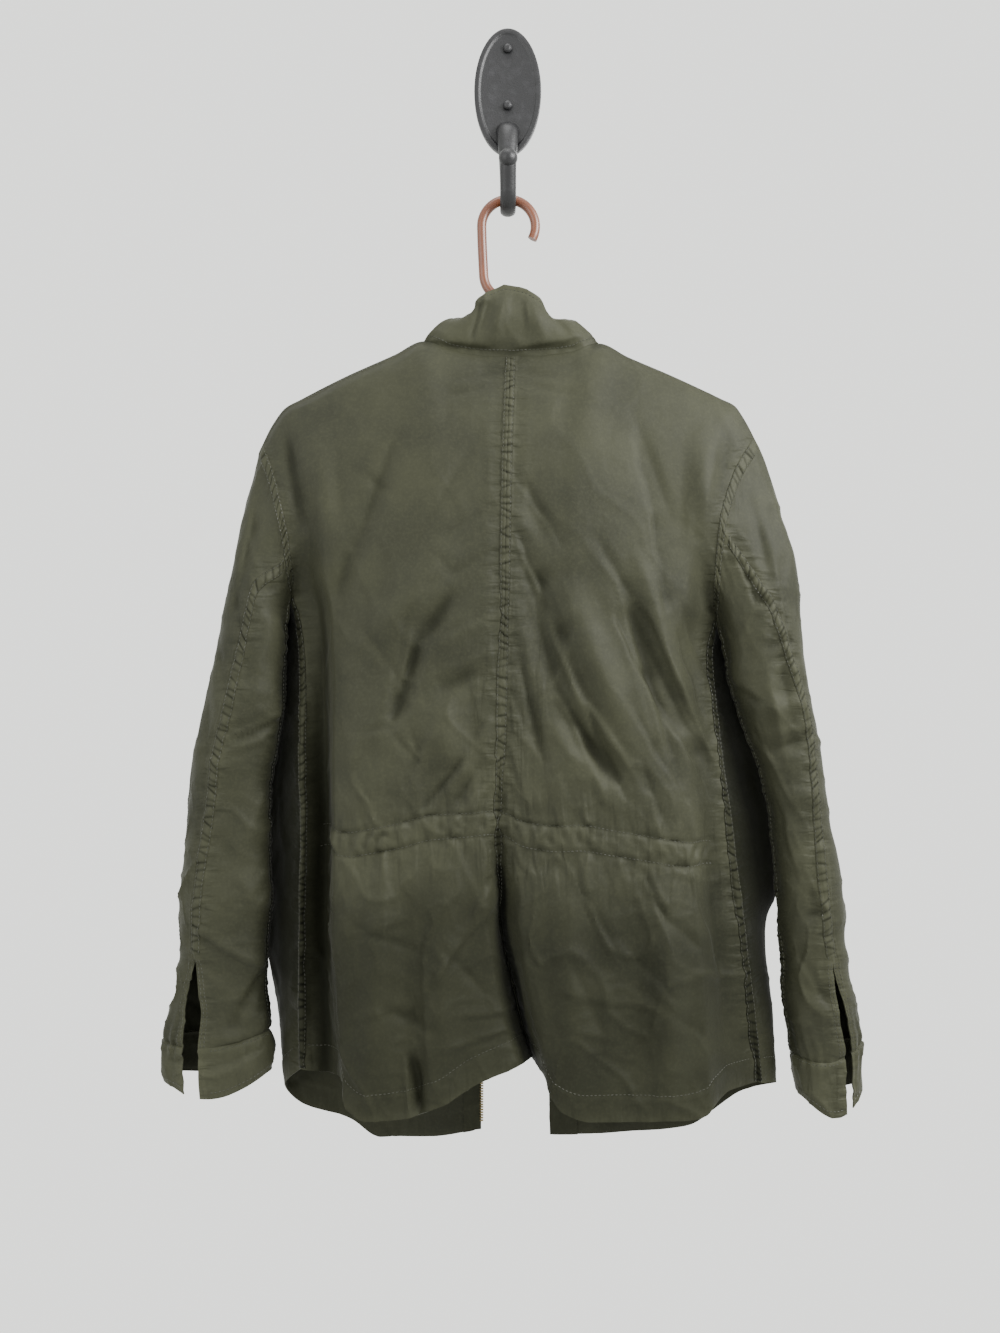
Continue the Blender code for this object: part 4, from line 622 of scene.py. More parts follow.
def crumple(grid, seed):
    """Washed cloth: soft hollows crossed by thin creases at two sizes."""
    x = grid[..., 0] - 0.9 * grid[..., 1]
    z = grid[..., 2] + 0.35 * grid[..., 1]
    bend_x = x + 0.006 * noise(x, z, 0.03, seed + 7)
    bend_z = z + 0.006 * noise(x, z, 0.03, seed + 8)
    soft = noise(x, z, 0.060, seed) * 0.0011 + noise(x, z, 0.020, seed + 1) * 0.0004
    slant = noise(bend_x * 0.8 + bend_z * 0.6, bend_z * 0.4 - bend_x * 0.6, 0.038, seed + 2)
    small = noise(bend_x + bend_z * 0.4, bend_z - bend_x * 0.3, 0.016, seed + 3)
    lines = (1 - np.abs(slant)) ** 9 * 0.0010 + (1 - np.abs(small)) ** 7 * 0.00045
    return soft + lines - 0.0003


trial = crease_height(np.zeros(1), np.zeros(1), [("trial", -0.1, 0, 0.1, 0, 0.010, 0.005, 0.0)])
print("height at the middle of a crease of 5 mm:", round(float(trial[0]) * 1000, 2), "mm")

# %% [markdown]
# A panel is a net of points hung between its four edges, and a sleeve a net
# round the arm. Fine relief is added along the cloth's own normal. Cloth has a
# thickness, so each net gets a second layer and a closed rim: a thin shell.

# %% Nets, normals and shells
HEM = 0.024
SIDE_BAND = 0.0062
SIDE_ROWS = (0.0022, 0.0052)
ARM_ROWS = (0.0025, 0.0052)
SLEEVE_ROWS = (0.0022, 0.0056)


def panel(centre, side, hem, top, depths, levels, columns, hem_power):
    """Grid of points between four edge curves, with depths from the sections."""
    levels = np.array(levels, float)
    columns = np.array(columns, float)
    inner = smooth(centre, levels)[:, None, :]
    outer = smooth(side, levels)[:, None, :]
    u = columns[None, :, None]
    v = levels[:, None, None]
    flat = (1 - u) * inner + u * outer
    low = smooth(hem, columns)[None, :, :]
    high = smooth(top, columns)[None, :, :]
    low_line = (1 - u) * low[:, :1] + u * low[:, -1:]
    high_line = (1 - u) * high[:, :1] + u * high[:, -1:]
    flat = flat + (1 - v) ** hem_power * (low - low_line) + v ** 1.5 * (high - high_line)
    depth = depth_grid(depths, levels, columns)
    return np.stack([flat[..., 0], -depth, flat[..., 1]], axis=2)


def grid_normals(grid, flip):
    """Unit normal at every point of a net, from its neighbours."""
    along = np.gradient(grid, axis=1)
    up = np.gradient(grid, axis=0)
    normal = np.cross(along, up)
    normal /= np.maximum(np.linalg.norm(normal, axis=2), 1e-12)[..., None]
    return -normal if flip else normal


def distance(grid, axis, start=0):
    """How far every point lies from one edge, measured along the cloth."""
    steps = np.linalg.norm(np.diff(grid, axis=axis), axis=2)
    pad = [(0, 0), (0, 0)]
    pad[axis] = (1, 0)
    run = np.cumsum(np.pad(steps, pad), axis=axis)
    if axis == 1:
        return np.abs(run - run[:, start][:, None])
    return np.abs(run - run[start, :][None, :])


def run_along(points):
    """How far each point of a line lies from its first, along the line."""
    return np.concatenate([[0], np.cumsum(np.linalg.norm(np.diff(points, axis=0), axis=1))])


def seam_band(away, half, rows=(0.0035,)):
    """Raised band beside a seam, with a groove under each row of stitches."""
    raised = 0.0008 * (1 - ease((away - half) / 0.0014))
    for row in rows:
        raised = raised - 0.0006 * np.exp(-((away - row) / 0.0011) ** 2)
    return raised


def hem_band(away):
    """Turned-up hem, a little raised, with a groove along its stitches."""
    raised = 0.0004 * (1 - ease((away - HEM) / 0.002))
    return raised - 0.0007 * np.exp(-((away - HEM) / 0.0013) ** 2)


def puckers(away, run, reach, seed, step, height):
    """Waves across a seam, uneven along it, dying away beside it."""
    warp = run + 0.004 * noise(run, run * 0, 0.012, seed)
    wave = np.sin(2 * np.pi * warp / step + 1.5 * noise(run, away, 0.018, seed + 1))
    strength = 0.45 + 0.55 * noise(run, run * 0 + 3, 0.025, seed + 2)
    return height * wave * strength * np.exp(-(away / reach) ** 2)


def spread_out(values, rows, columns):
    """Mean of a net of values over so many rows and columns to each side."""
    for axis, reach in ((0, rows), (1, columns)):
        pad = [(0, 0), (0, 0)]
        pad[axis] = (reach + 1, reach)
        total = np.cumsum(np.pad(values, pad, mode="edge"), axis=axis)
        size = values.shape[axis]
        high = np.take(total, np.arange(size) + 2 * reach + 1, axis=axis)
        values = (high - np.take(total, np.arange(size), axis=axis)) / (2 * reach + 1)
    return values


def valley(grid, depth=0.007, rows=8, columns=12):
    """From 0, on open cloth, to 1, down in a fold: how far a point lies under its surround."""
    away = grid[..., 1]
    return ease((away - spread_out(away, rows, columns)) / depth)


def shell(name, grid, flip, wall=CLOTH, wear_and_highlight=None, lift=0.0, deep=None, marks=None, inside_shade=0.6):
    """Closed thin cloth: the net, its inner side and a rim, with UVs in metres, and painted shade on
    both sides.
    """
    rows, columns, _ = grid.shape
    normal = grid_normals(grid, flip)
    grid = grid + normal * lift
    count = rows * columns
    verts = np.concatenate([grid.reshape(-1, 3), (grid - normal * wall).reshape(-1, 3)])
    index = np.arange(count).reshape(rows, columns)
    a, b = index[:-1, :-1].ravel(), index[:-1, 1:].ravel()
    c, d = index[1:, 1:].ravel(), index[1:, :-1].ravel()
    outer = np.stack([a, d, c, b] if flip else [a, b, c, d], axis=1)
    inner = outer[:, ::-1] + count
    ring = np.concatenate([index[0], index[1:, -1], index[-1, -2::-1], index[-2:0:-1, 0]])
    if flip:
        ring = ring[::-1]
    after = np.roll(ring, -1)
    rim = np.stack([after, ring, ring + count, after + count], axis=1)
    mesh = bpy.data.meshes.new(name)
    mesh.from_pydata(verts.tolist(), [], np.concatenate([outer, inner, rim]).tolist())
    flat = np.stack([distance(grid, 1).ravel(), distance(grid, 0).ravel()], axis=1)
    flat = np.concatenate([flat, flat])
    corner = np.zeros(len(mesh.loops), int)
    mesh.loops.foreach_get("vertex_index", corner)
    layer = mesh.uv_layers.new(name="cloth")
    layer.data.foreach_set("uv", flat[corner].ravel())
    worn = np.zeros((rows, columns)) if wear_and_highlight is None else np.clip(wear_and_highlight, 0, 1)
    attribute = mesh.attributes.new("wear_and_highlight", "FLOAT", "POINT")
    attribute.data.foreach_set("value", np.concatenate([worn.ravel(), worn.ravel() * 0.4]))
    # Painted shade: the valley attribute, never less than a set amount on the inner side, which lies
    # in shade inside the jacket.
    shade = np.zeros((rows, columns)) if deep is None else np.clip(deep, 0, 1)
    attribute = mesh.attributes.new("valley", "FLOAT", "POINT")
    inside = np.maximum(shade.ravel(), inside_shade)
    attribute.data.foreach_set("value", np.concatenate([shade.ravel(), inside]))
    for key, values in (marks or {}).items():
        attribute = mesh.attributes.new(key, "FLOAT", "POINT")
        attribute.data.foreach_set("value", np.tile(np.clip(values, 0, 1).ravel(), 2))
    mesh.polygons.foreach_set("use_smooth", [True] * len(mesh.polygons))
    mesh.set_sharp_from_angle(angle=math.radians(60))
    mesh.update()
    made = bpy.data.objects.new(name, mesh)
    bpy.context.scene.collection.objects.link(made)
    return made


print("cloth", CLOTH * 1000, "mm thick, hems", HEM * 1000, "mm deep")

# %% [markdown]
# The back is the face of this garment. Its two panels meet at the centre seam,
# which sinks into a deep pleat below the waist. A casing sewn through the waist
# draws the cloth in, so it gathers above and below into short uneven ridges.

# %% Short creases square to a line


def short_creases(line, seed, step, reach, half, height, side, lean=0.0):
    """Creases square to a line of (x, z) points, uneven in place, length and height."""
    dice = np.random.RandomState(seed)
    points = np.array(line)
    run = run_along(points)
    rows = []
    at = step * 0.5
    while at < run[-1]:
        place = np.array([np.interp(at, run, points[:, k]) for k in range(2)])
        tilt = lean + dice.uniform(-0.3, 0.3)
        length = reach * dice.uniform(0.4, 1.5)
        end = place + np.array([tilt, side]) * length
        rows.append(("short", place[0], place[1], end[0], end[1],
                     half * dice.uniform(0.7, 1.4), height * dice.uniform(0.3, 1.3), 0.7))
        at += step * dice.uniform(0.65, 1.45)
    return rows


def row_line(grid, row, low, high):
    """Every second point of one row of a net, as x and z."""
    return np.stack([grid[row, low:high, 0], grid[row, low:high, 2]], axis=1)[::2]


# Gathers at the channel: spacing, length, half width, height, lean
GATHERS_UP = [
    ("short", 0.0135, 0.028, 0.0046, 0.0026, -0.1),
    ("long", 0.034, 0.075, 0.0075, 0.0034, -0.25),
]
GATHERS_DOWN = [
    ("short", 0.0135, 0.030, 0.0046, 0.0026, 0.1),
    ("long", 0.030, 0.085, 0.0080, 0.0040, 0.2),
]


def gathers(line, table, seed, side):
    """Gathers of every kind in a table, along a line, up (1) or down (-1)."""
    rows = []
    for number, (_, step, reach, half, height, lean) in enumerate(table):
        rows += short_creases(line, seed + 2 * number, step, reach, half, height, side, lean)
    return rows


print("gathers on 20 cm of channel:", len(gathers([(0, 0), (0.2, 0)], GATHERS_UP, 1, 1)))

# %% [markdown]
# Each back panel is creased in order of size. The folds move the cloth itself.
# Gathers, laps and crumple are then added up as one height with the bands along
# the seams and the hem, and pushed out square to the cloth. The seams are marked
# as worn, and what stands proud as paler, a painted highlight, so that the
# colour can follow both.

# %% Back panels
BLADES = 200


def crease_back(grid, folds, fine, laps, seed, flip):
    """Crease one back panel, and return it with its wear and painted highlight. Levels are rows of the
    net.
    """
    u = back_columns[None, :]
    v = body_levels[:, None]
    inside = np.clip((1 - u) / 0.08, 0, 1) * np.clip(u / 0.06, 0, 1) * np.clip((1 - v) / 0.06, 0, 1)
    grid[..., 1] -= crease_height(grid[..., 0], grid[..., 2], folds) * inside * 1.35
    x, z = grid[..., 0], grid[..., 2]
    centre = distance(grid, 1)
    side = distance(grid, 1, -1)
    hem = distance(grid, 0)
    neck = distance(grid, 0, -1)
    level = np.arange(len(body_levels))[:, None] + 0 * u
    last = len(back_columns) - 9
    gathers_up = gathers(row_line(grid, WAIST_HIGH, 2, last), GATHERS_UP, seed, 1)
    gathers_down = gathers(row_line(grid, WAIST_LOW, 2, last), GATHERS_DOWN, seed + 1, -1)
    above = ease((level - WAIST_HIGH) / 1.5)
    below = ease((WAIST_LOW - level) / 1.5)
    reach = ease((side - 0.012) / 0.02)
    up = np.exp(-((level - WAIST_HIGH) / 9.0) ** 2)
    down = np.exp(-((level - WAIST_LOW) / 9.0) ** 2)
    small = (crease_height(x, z, gathers_up, True) - 0.0012 * up) * above
    small += (crease_height(x, z, gathers_down, True) - 0.0012 * down) * below
    small *= reach * (0.65 + 0.35 * noise(x, z, 0.05, seed + 12))
    inner = (1 - above) * (1 - below)
    half_way = 0.5 * (WAIST_LOW + WAIST_HIGH)
    middle = np.cos(np.pi * np.clip((level - half_way) / ROW_CUTS, -0.5, 0.5)) ** 0.6
    place = x + 0.006 * noise(x, z, 0.016, seed + 9)
    tucks = 0.0015 * np.sin(2 * np.pi * place / 0.0125 + 1.2 * noise(x, z, 0.03, seed + 11))
    small += inner * reach * middle * (0.0008 + tucks * (0.35 + 0.6 * noise(x, z, 0.02, seed + 10)))
    small += inner * reach * 0.0012 * noise(x + 0.5 * z, z, 0.007, seed + 14)
    small += crease_height(x, z, fine) * 1.5
    small += lap_height(x, z, laps) * reach * 1.25
    messy = 0.5 + 0.7 * ease((BLADES - level) / 80) + 1.0 * ease((WAIST_HIGH - level) / 30)
    small += crumple(grid, seed + 20) * messy
    bands = seam_band(centre, 0.0048) + seam_band(side, SIDE_BAND, SIDE_ROWS)
    bands += hem_band(hem)
    bands += seam_band(neck, 0.0040, (0.0030,)) * 0.7
    for row in (WAIST_LOW, WAIST_HIGH):
        pinch = 0.0013 + 0.0007 * noise(x, z, 0.014, seed + 13)
        bands -= pinch * np.exp(-((level - row) / 0.9) ** 2) * reach
    small += bands
    small += puckers(centre, z, 0.012, seed + 30, step=0.0160, height=0.0008)
    small += puckers(side, z, 0.014, seed + 33, step=0.0160, height=0.0010)
    small += puckers(np.abs(hem - 0.020), x, 0.010, seed + 36, step=0.0120, height=0.0008)
    edge = ease(side / 0.0015) * ease(neck / 0.0015) * ease(centre / 0.0008)
    wear_and_highlight = np.exp(-(centre / 0.0055) ** 2) * 0.7 + np.exp(-(side / 0.007) ** 2) * 0.6
    wear_and_highlight += np.exp(-(hem / 0.006) ** 2) * 0.6 + np.exp(-((level - half_way) / 7) ** 2) * 0.35
    # Ridges of the relief are painted paler, as painted highlight.
    wear_and_highlight = wear_and_highlight * (0.6 + 0.4 * noise(x, z, 0.01, seed + 40)) + np.clip(small / 0.004, 0, 0.5) * 0.4
    grid = grid + grid_normals(grid, flip) * (small * edge)[..., None]
    return grid, wear_and_highlight


back_left = panel(
    CENTRE_BACK, SIDE_LEFT, BACK_HEM_LEFT, TOP_LEFT, BACK_DEPTH_LEFT, body_levels, back_columns, 3)
back_left, wear_left = crease_back(back_left, CREASES_LEFT, FINE_LEFT, LAPS_LEFT, 11, True)
back_right = panel(
    CENTRE_BACK, SIDE_RIGHT, BACK_HEM_RIGHT, TOP_RIGHT, BACK_DEPTH_RIGHT, body_levels, back_columns, 3)
back_right, wear_right = crease_back(back_right, CREASES_RIGHT, FINE_RIGHT, LAPS_RIGHT, 211, False)
print("back panels creased")

# %% [markdown]
# The fronts hang behind the back, against the wall, and show only below the
# back hem and beside the side seams. They are the same kind of net, sharing
# the back's points along the side and shoulder seams.

# %% Fronts


def spread(grid, reach, levels, columns, hand):
    """Draw the outer columns of a front out sideways, as far as each level reaches."""
    amount = smooth(reach, levels)[:, 0][:, None]
    share = smooth(FRONT_SHARE, columns)[:, 0][None, :]
    grid[..., 0] += hand * amount * share
    return grid


front_side_left = SIDE_LEFT[:7] + FRONT_ARM_LEFT
front_side_right = SIDE_RIGHT[:7] + FRONT_ARM_RIGHT
front_top_left = FRONT_NECK_LEFT[:2] + TOP_LEFT[3:]
front_top_right = FRONT_NECK_RIGHT[:2] + TOP_RIGHT[3:]


def crease_front(grid, back, seed, flip):
    """Wash-crumple one front, with its hem, and join it to the back."""
    grid[:UNDERARM + 1, -1] = back[:UNDERARM + 1, -1]
    grid[-1, -SHOULDER_POINTS:] = back[-1, -SHOULDER_POINTS:]
    hem = distance(grid, 0)
    side = distance(grid, 1, -1)
    neck = distance(grid, 0, -1)
    edge = distance(grid, 1)
    small = crumple(grid, seed) * 1.2
    small += hem_band(hem)
    small += seam_band(side, SIDE_BAND, SIDE_ROWS) + seam_band(edge, 0.006, (0.005,))
    small += puckers(side, grid[..., 2], 0.009, seed + 3, step=0.0085, height=0.0012)
    small += puckers(np.abs(hem - 0.020), grid[..., 0], 0.010, seed + 6, step=0.0120, height=0.0009)
    fade = ease(side / 0.0015) * ease(neck / 0.02)
    wear_and_highlight = np.exp(-(side / 0.007) ** 2) * 0.6 + np.exp(-(hem / 0.006) ** 2) * 0.6
    return grid + grid_normals(grid, flip) * (small * fade)[..., None], wear_and_highlight


front_left = panel(
    CENTRE_FRONT_LEFT, front_side_left, FRONT_HEM_LEFT, front_top_left, FRONT_DEPTH,
    body_levels, front_columns, 1.8)
front_left = spread(front_left, FRONT_REACH_LEFT, body_levels, front_columns, -1)
front_left, wear_front_left = crease_front(front_left, back_left, 401, False)
front_right = panel(
    CENTRE_FRONT_RIGHT, front_side_right, FRONT_HEM_RIGHT, front_top_right, FRONT_DEPTH,
    body_levels, front_columns, 1.8)
front_right = spread(front_right, FRONT_REACH_RIGHT, body_levels, front_columns, 1)
front_right, wear_front_right = crease_front(front_right, back_right, 431, True)
print("fronts joined to the back along", UNDERARM + 1, "points a side")

# %% [markdown]
# A sleeve starts as the ring of its armhole and passes smoothly into ovals
# down the arm. Two seams run its length, so it is cut in two pieces: one is at
# the inner edge, the other wanders over the back of the elbow to the vent.

# %% Sleeves
ARMHOLE_END = 0.13
VENT_TOP = 0.77


def sleeve(side, ring, table, seam_table, folds, levels):
    """Rings down a sleeve, each with as many points as the armhole."""
    half = len(ring) // 2
    joint = SEAM_COLUMN[side]
    table = smooth(table, levels)
    seams = smooth(seam_table, levels)[:, 0]
    count = len(ring)
    first = ring[0]
    axis = ring[half] - first
    axis[1] = 0
    length = np.linalg.norm(axis)
    axis = axis / length
    cross = np.array([-axis[2], 0, axis[0]])
    share = ((ring - first) @ axis) / length
    bend = (ring - first) @ cross
    ring_depth = -ring[:, 1]
    rows = []
    for level, row, seam in zip(levels, table, seams):
        outer = np.array([row[0], 0, row[1]])
        inner = np.array([row[2], 0, row[3]])
        along = inner - outer
        unit = along / np.linalg.norm(along)
        side_way = np.array([-unit[2], 0, unit[0]])
        turn = math.acos(1 - 2 * seam)
        blend = float(ease(level / ARMHOLE_END))
        sag = max(0.0, (level - 0.94) / 0.16)
        points = []
        for j in range(count):
            k = j if j <= half else count - j
            back = j <= half
            if not back:
                angle = math.pi * k / half
            elif k <= joint:
                angle = turn * k / joint
            else:
                angle = turn + (math.pi - turn) * (k - joint) / (half - joint)
            s = 0.5 - 0.5 * math.cos(angle)
            out = math.sin(angle) ** 0.8 * row[5] if 0 < k < half else 0.0
            depth = row[4] + (out if back else -out)
            s = share[j] * (1 - blend) + s * blend
            depth = ring_depth[j] * (1 - blend) + depth * blend
            place = outer + along * s + side_way * bend[j] * (1 - blend)
            hang = CUFF_SAG[side][0 if back else 1] * sag * math.sin(math.pi * min(1, max(0, s)))
            points.append((place[0], -depth, place[2] - hang))
        rows.append(points)
    grid = np.array(rows)
    grid[0] = ring
    rise = crease_height(grid[..., 0], grid[..., 2], folds)
    j = np.arange(count)
    facing = np.where((j > 0) & (j < half), np.sin(np.pi * j / half), 0.0)
    hidden = np.where(j > half, 0.6 * np.sin(np.pi * (j - half) / half), 0.0)
    settle = np.clip(np.array(levels) / 0.06, 0, 1)[:, None]
    grid[..., 1] -= rise * facing[None, :] * settle
    grid[..., 1] += rise * hidden[None, :] * settle
    return grid


VENT_UNDER = {"left": (0.005, 1), "right": (0.004, 1)}
VENT_UPPER = {"left": (0.012, 4), "right": (0.005, 3)}


def open_vent(strip, levels, edge, width, cells):
    """Draw one edge of a sleeve piece back from the seam, to make the vent."""
    step = 1 if edge == 0 else -1
    columns = [edge + step * k for k in range(cells * RING_CUTS + 1)]
    for i, level in enumerate(levels):
        amount = width * min(1.0, max(0.0, (level - VENT_TOP) / 0.14))
        if amount <= 0:
            continue
        path = strip[i, columns].copy()
        run = run_along(path)
        moved = amount + run * (1 - amount / run[-1])
        for n, column in enumerate(columns):
            strip[i, column] = [np.interp(moved[n], run, path[:, k]) for k in range(3)]
    return strip


def ring_normals(grid, flip):
    """Normals of a net that closes on itself round the arm."""
    wide = np.concatenate([grid[:, -2:], grid, grid[:, :2]], axis=1)
    return grid_normals(wide, flip)[:, 2:-2]


def crease_sleeve(whole, joint, laps, seed, flip):
    """Crumple a whole sleeve, and raise its two seams and its armhole."""
    count = whole.shape[1]
    half = count // 2
    wide = np.concatenate([whole, whole], axis=1)
    run = distance(wide, 1)
    lap = run[:, count] - run[:, 0]
    across = run[:, :count]

    def from_column(column):
        """Distance from one column, the shorter way round the arm."""
        there = np.abs(across - across[:, column][:, None])
        return np.minimum(there, lap[:, None] - there)

    back_seam = from_column(joint)
    inner_seam = from_column(half)
    top = distance(whole, 0)
    z = whole[..., 2]
    ring = np.arange(len(whole))[:, None] + 0 * top
    messy = 1.3 + 1.2 * ease((ring / SLEEVE_END - 0.35) / 0.4)
    small = crumple(whole, seed) * messy * ease(top / 0.02)
    normal = ring_normals(whole, flip)
    seen = ease(-normal[..., 1] / 0.5)
    small += lap_height(whole[..., 0], z, laps) * seen * ease(top / 0.02)
    small += seam_band(back_seam, 0.0066, SLEEVE_ROWS) * ease(top / 0.004)
    small += seam_band(inner_seam, 0.0050, (0.0040,)) * ease(top / 0.004)
    small += seam_band(top, 0.0060, ARM_ROWS)
    small += puckers(back_seam, z, 0.016, seed + 3, step=0.0170, height=0.0012) * ease(top / 0.01)
    small += puckers(inner_seam, z, 0.012, seed + 6, step=0.0150, height=0.0010) * ease(top / 0.01)
    small += puckers(top, across, 0.012, seed + 9, step=0.0140, height=0.0008)
    cuff = np.abs(ring - SLEEVE_END)
    small += 0.0010 * ease((ring - SLEEVE_END) / 1.5)
    small -= 0.0016 * np.exp(-(cuff / 0.8) ** 2)
    small += puckers(cuff * 0.0018, across, 0.014, seed + 12, step=0.0100, height=0.0014)
    small *= ease(top / 0.0012)
    wear_and_highlight = np.exp(-(back_seam / 0.007) ** 2) * 0.65 + np.exp(-(inner_seam / 0.006) ** 2) * 0.5
    wear_and_highlight += np.exp(-(top / 0.006) ** 2) * 0.6 + np.exp(-(cuff / 2.0) ** 2) * 0.3
    # Ridges of the relief are painted paler, as painted highlight.
    wear_and_highlight = wear_and_highlight + np.clip(small / 0.004, 0, 0.5) * 0.4
    return whole + normal * small[..., None], wear_and_highlight


sleeves = {}
nets = {
    "back_left": (back_left, True, wear_left),
    "back_right": (back_right, False, wear_right),
    "front_left": (front_left, False, wear_front_left),
    "front_right": (front_right, True, wear_front_right),
}
for side, back, front, table, seam, creases, laps, seed in (
    ("left", back_left, front_left, SLEEVE_LEFT, SLEEVE_SEAM_LEFT, SLEEVE_CREASES_LEFT,
     SLEEVE_LAPS_LEFT, 501),
    ("right", back_right, front_right, SLEEVE_RIGHT, SLEEVE_SEAM_RIGHT, SLEEVE_CREASES_RIGHT,
     SLEEVE_LAPS_RIGHT, 541),
):
    down = back[UNDERARM:, -1][::-1]
    up = front[UNDERARM:, -1]
    ring = np.concatenate([down, up[1:-1]])
    whole = sleeve(side, ring, table, seam, creases, sleeve_levels)
    flip = side == "left"
    joint = SEAM_COLUMN[side]
    whole, wear_and_highlight = crease_sleeve(whole, joint, laps, seed, flip)
    count = len(ring)
    half = count // 2
    under_columns = list(range(joint, half + 1))
    upper_columns = [j % count for j in range(half, count + joint + 1)]
    cuff_columns = [j % count for j in range(joint, count + joint + 1)]
    under = open_vent(whole[:, under_columns].copy(), sleeve_levels, 0, *VENT_UNDER[side])
    upper = open_vent(whole[:, upper_columns].copy(), sleeve_levels, -1, *VENT_UPPER[side])
    cuff = whole[SLEEVE_END:, cuff_columns].copy()
    cuff = open_vent(cuff, sleeve_levels[SLEEVE_END:], 0, *VENT_UNDER[side])
    cuff = open_vent(cuff, sleeve_levels[SLEEVE_END:], -1, *VENT_UPPER[side])
    sleeves[side] = (whole, flip)
    end = SLEEVE_END + 1
    nets["sleeve_under_" + side] = (under[:end], flip, wear_and_highlight[:end, under_columns])
    nets["sleeve_upper_" + side] = (upper[:end], flip, wear_and_highlight[:end, upper_columns])
    nets["cuff_" + side] = (cuff, flip, wear_and_highlight[SLEEVE_END:, cuff_columns] + 0.3)
print("nets:", ", ".join(nets))

# %% [markdown]
# The collar is a soft stand, sewn double in the real jacket and one wall here.
# Pushed up by the hanger, it has crumpled: a dent beside its highest point and
# a roll along the neck seam. Its net stands on the points round the neck.

# %% Collar


def neck_points(net, columns, places, front, hand):
    """Points of a panel's neck edge, each with its place from centre back, 0, to front, 1."""
    rows = []
    for j in places:
        share = 0.5 + 0.5 * (NECK_U - columns[j]) / NECK_U if front else 0.5 * columns[j] / NECK_U
        rows.append((net[-1, j], share, hand))
    return rows


neckline = neck_points(front_left, front_columns, range(NECK_FRONT), True, -1)
neckline += neck_points(back_left, back_columns, range(NECK_BACK - 2, -1, -1), False, -1)
neckline += neck_points(back_right, back_columns, range(1, NECK_BACK), False, 1)
neckline += neck_points(front_right, front_columns, range(NECK_FRONT - 2, -1, -1), True, 1)
collar_rows = refine(COLLAR_W, 6)
collar = np.zeros((len(collar_rows), len(neckline), 3))
for j, (base, place, hand) in enumerate(neckline):
    rows = []
    for row in COLLAR_STEPS:
        steps = [(p, *step) for p, step in zip(COLLAR_PLACES, row[1:])]
        rows.append((row[0], *smooth(steps, place)[0]))
    mirror = hand if place > 0.12 else hand * place / 0.12 - (1 - place / 0.12)
    for i, (dx, dd, dz) in enumerate(smooth(rows, collar_rows)):
        collar[i, j] = base + np.array([dx * mirror, -dd, dz])
COLLAR_CREASES = [
    ("dent", -0.018, -0.196, -0.030, -0.232, 0.012, -0.0050, 0.6),
    ("dent lip", -0.002, -0.190, -0.012, -0.228, 0.010, 0.0030, 0.4),
    ("roll groove", -0.072, -0.236, -0.012, -0.240, 0.006, -0.0022, 0.7),
    ("roll groove right", 0.010, -0.240, 0.066, -0.238, 0.006, -0.0022, 0.7),
    ("left slope", -0.040, -0.200, -0.060, -0.226, 0.012, -0.0024, 0.7),
    ("right slope", 0.036, -0.198, 0.058, -0.226, 0.012, -0.0026, 0.7),
    ("right swell", 0.020, -0.196, 0.034, -0.232, 0.012, 0.0024, 0.2),
]
COLLAR_LAPS = [
    ("dent edge", -0.022, -0.190, -0.031, -0.230, 0.016, 0.0050),
    ("dent brow", -0.036, -0.198, -0.020, -0.196, 0.010, 0.0026),
    ("right fold", 0.016, -0.200, 0.018, -0.222, 0.012, 0.0018),
    ("roll edge", -0.070, -0.232, -0.020, -0.238, 0.014, 0.0022),
    ("roll edge right", 0.006, -0.240, 0.066, -0.230, 0.014, 0.0022),
]
collar_run = distance(collar, 1)
collar_rise = distance(collar, 0)
collar_top = distance(collar, 0, -1)
facing = (collar[..., 1] < -0.046).astype(float)
relief = crease_height(collar[..., 0], collar[..., 2], COLLAR_CREASES) * facing
relief += lap_height(collar[..., 0], collar[..., 2], COLLAR_LAPS) * facing
relief += crumple(collar, 601) * 0.7
relief -= 0.0006 * np.exp(-((collar_top - 0.0045) / 0.0012) ** 2)
relief += puckers(collar_rise, collar_run, 0.010, 605, step=0.0140, height=0.0005)
relief *= ease(collar_rise / 0.002)
collar = collar + grid_normals(collar, False) * relief[..., None]
nets["collar"] = (collar, False, np.exp(-(collar_top / 0.006) ** 2) * 0.9 + 0.35)
print("collar:", len(neckline), "points round the neck")

# %% [markdown]
# Every net becomes a shell, named for the solid that it replaces.

# %% [markdown]
# Light seldom reaches the bottom of a fold or the inside of a jacket, so shade is
# painted there. Each net also says how much painted shade every point takes, from
# 0 to 1, from how deep it lies and where it hangs in shadow, and how strongly it
# is gathered, which the fine wrinkles of the finish use.

# %% Painted shade and gathers


def back_painted_shade(net, level, left):
    """Painted shade on a back: in the centre pleat, in the fold by the side seam and over the skirt.
    """
    across = distance(net, 1)
    width = 0.010 + (0.004 if left else 0.022) * ease((WAIST_LOW - level) / 60)
    pleat = ease((width - across) / 0.008) * ease((WAIST_LOW - 3 - level) / 12)
    beside = np.exp(-((distance(net, 1, -1) - 0.024) / 0.013) ** 2)
    fold = beside * ease((WAIST_HIGH + 90 - level) / 90)
    # The whole skirt is darker below the waist: painted shade.
    skirt = 0.36 * ease((WAIST_LOW - level) / 30)
    return np.maximum(pleat, np.maximum(fold * (0.85 if left else 0.3), skirt))


def back_gathers(net, level, left):
    """How strongly a back is gathered along the waist channel and above it by the seam."""
    across = distance(net, 1)
    high = np.exp(-(np.maximum(level - WAIST_HIGH, 0) / 16.0) ** 2)
    low = np.exp(-(np.maximum(WAIST_LOW - level, 0) / 16.0) ** 2)
    near = 0.45 + 0.55 * np.exp(-(across / 0.07) ** 2)
    channel = high * low * near * (0.7 if left else 1.0)
    fan = np.exp(-(across / 0.045) ** 2) * np.exp(-((level - WAIST_HIGH - 24) / 34.0) ** 2)
    return np.maximum(channel, fan * (0.6 if left else 0.9))


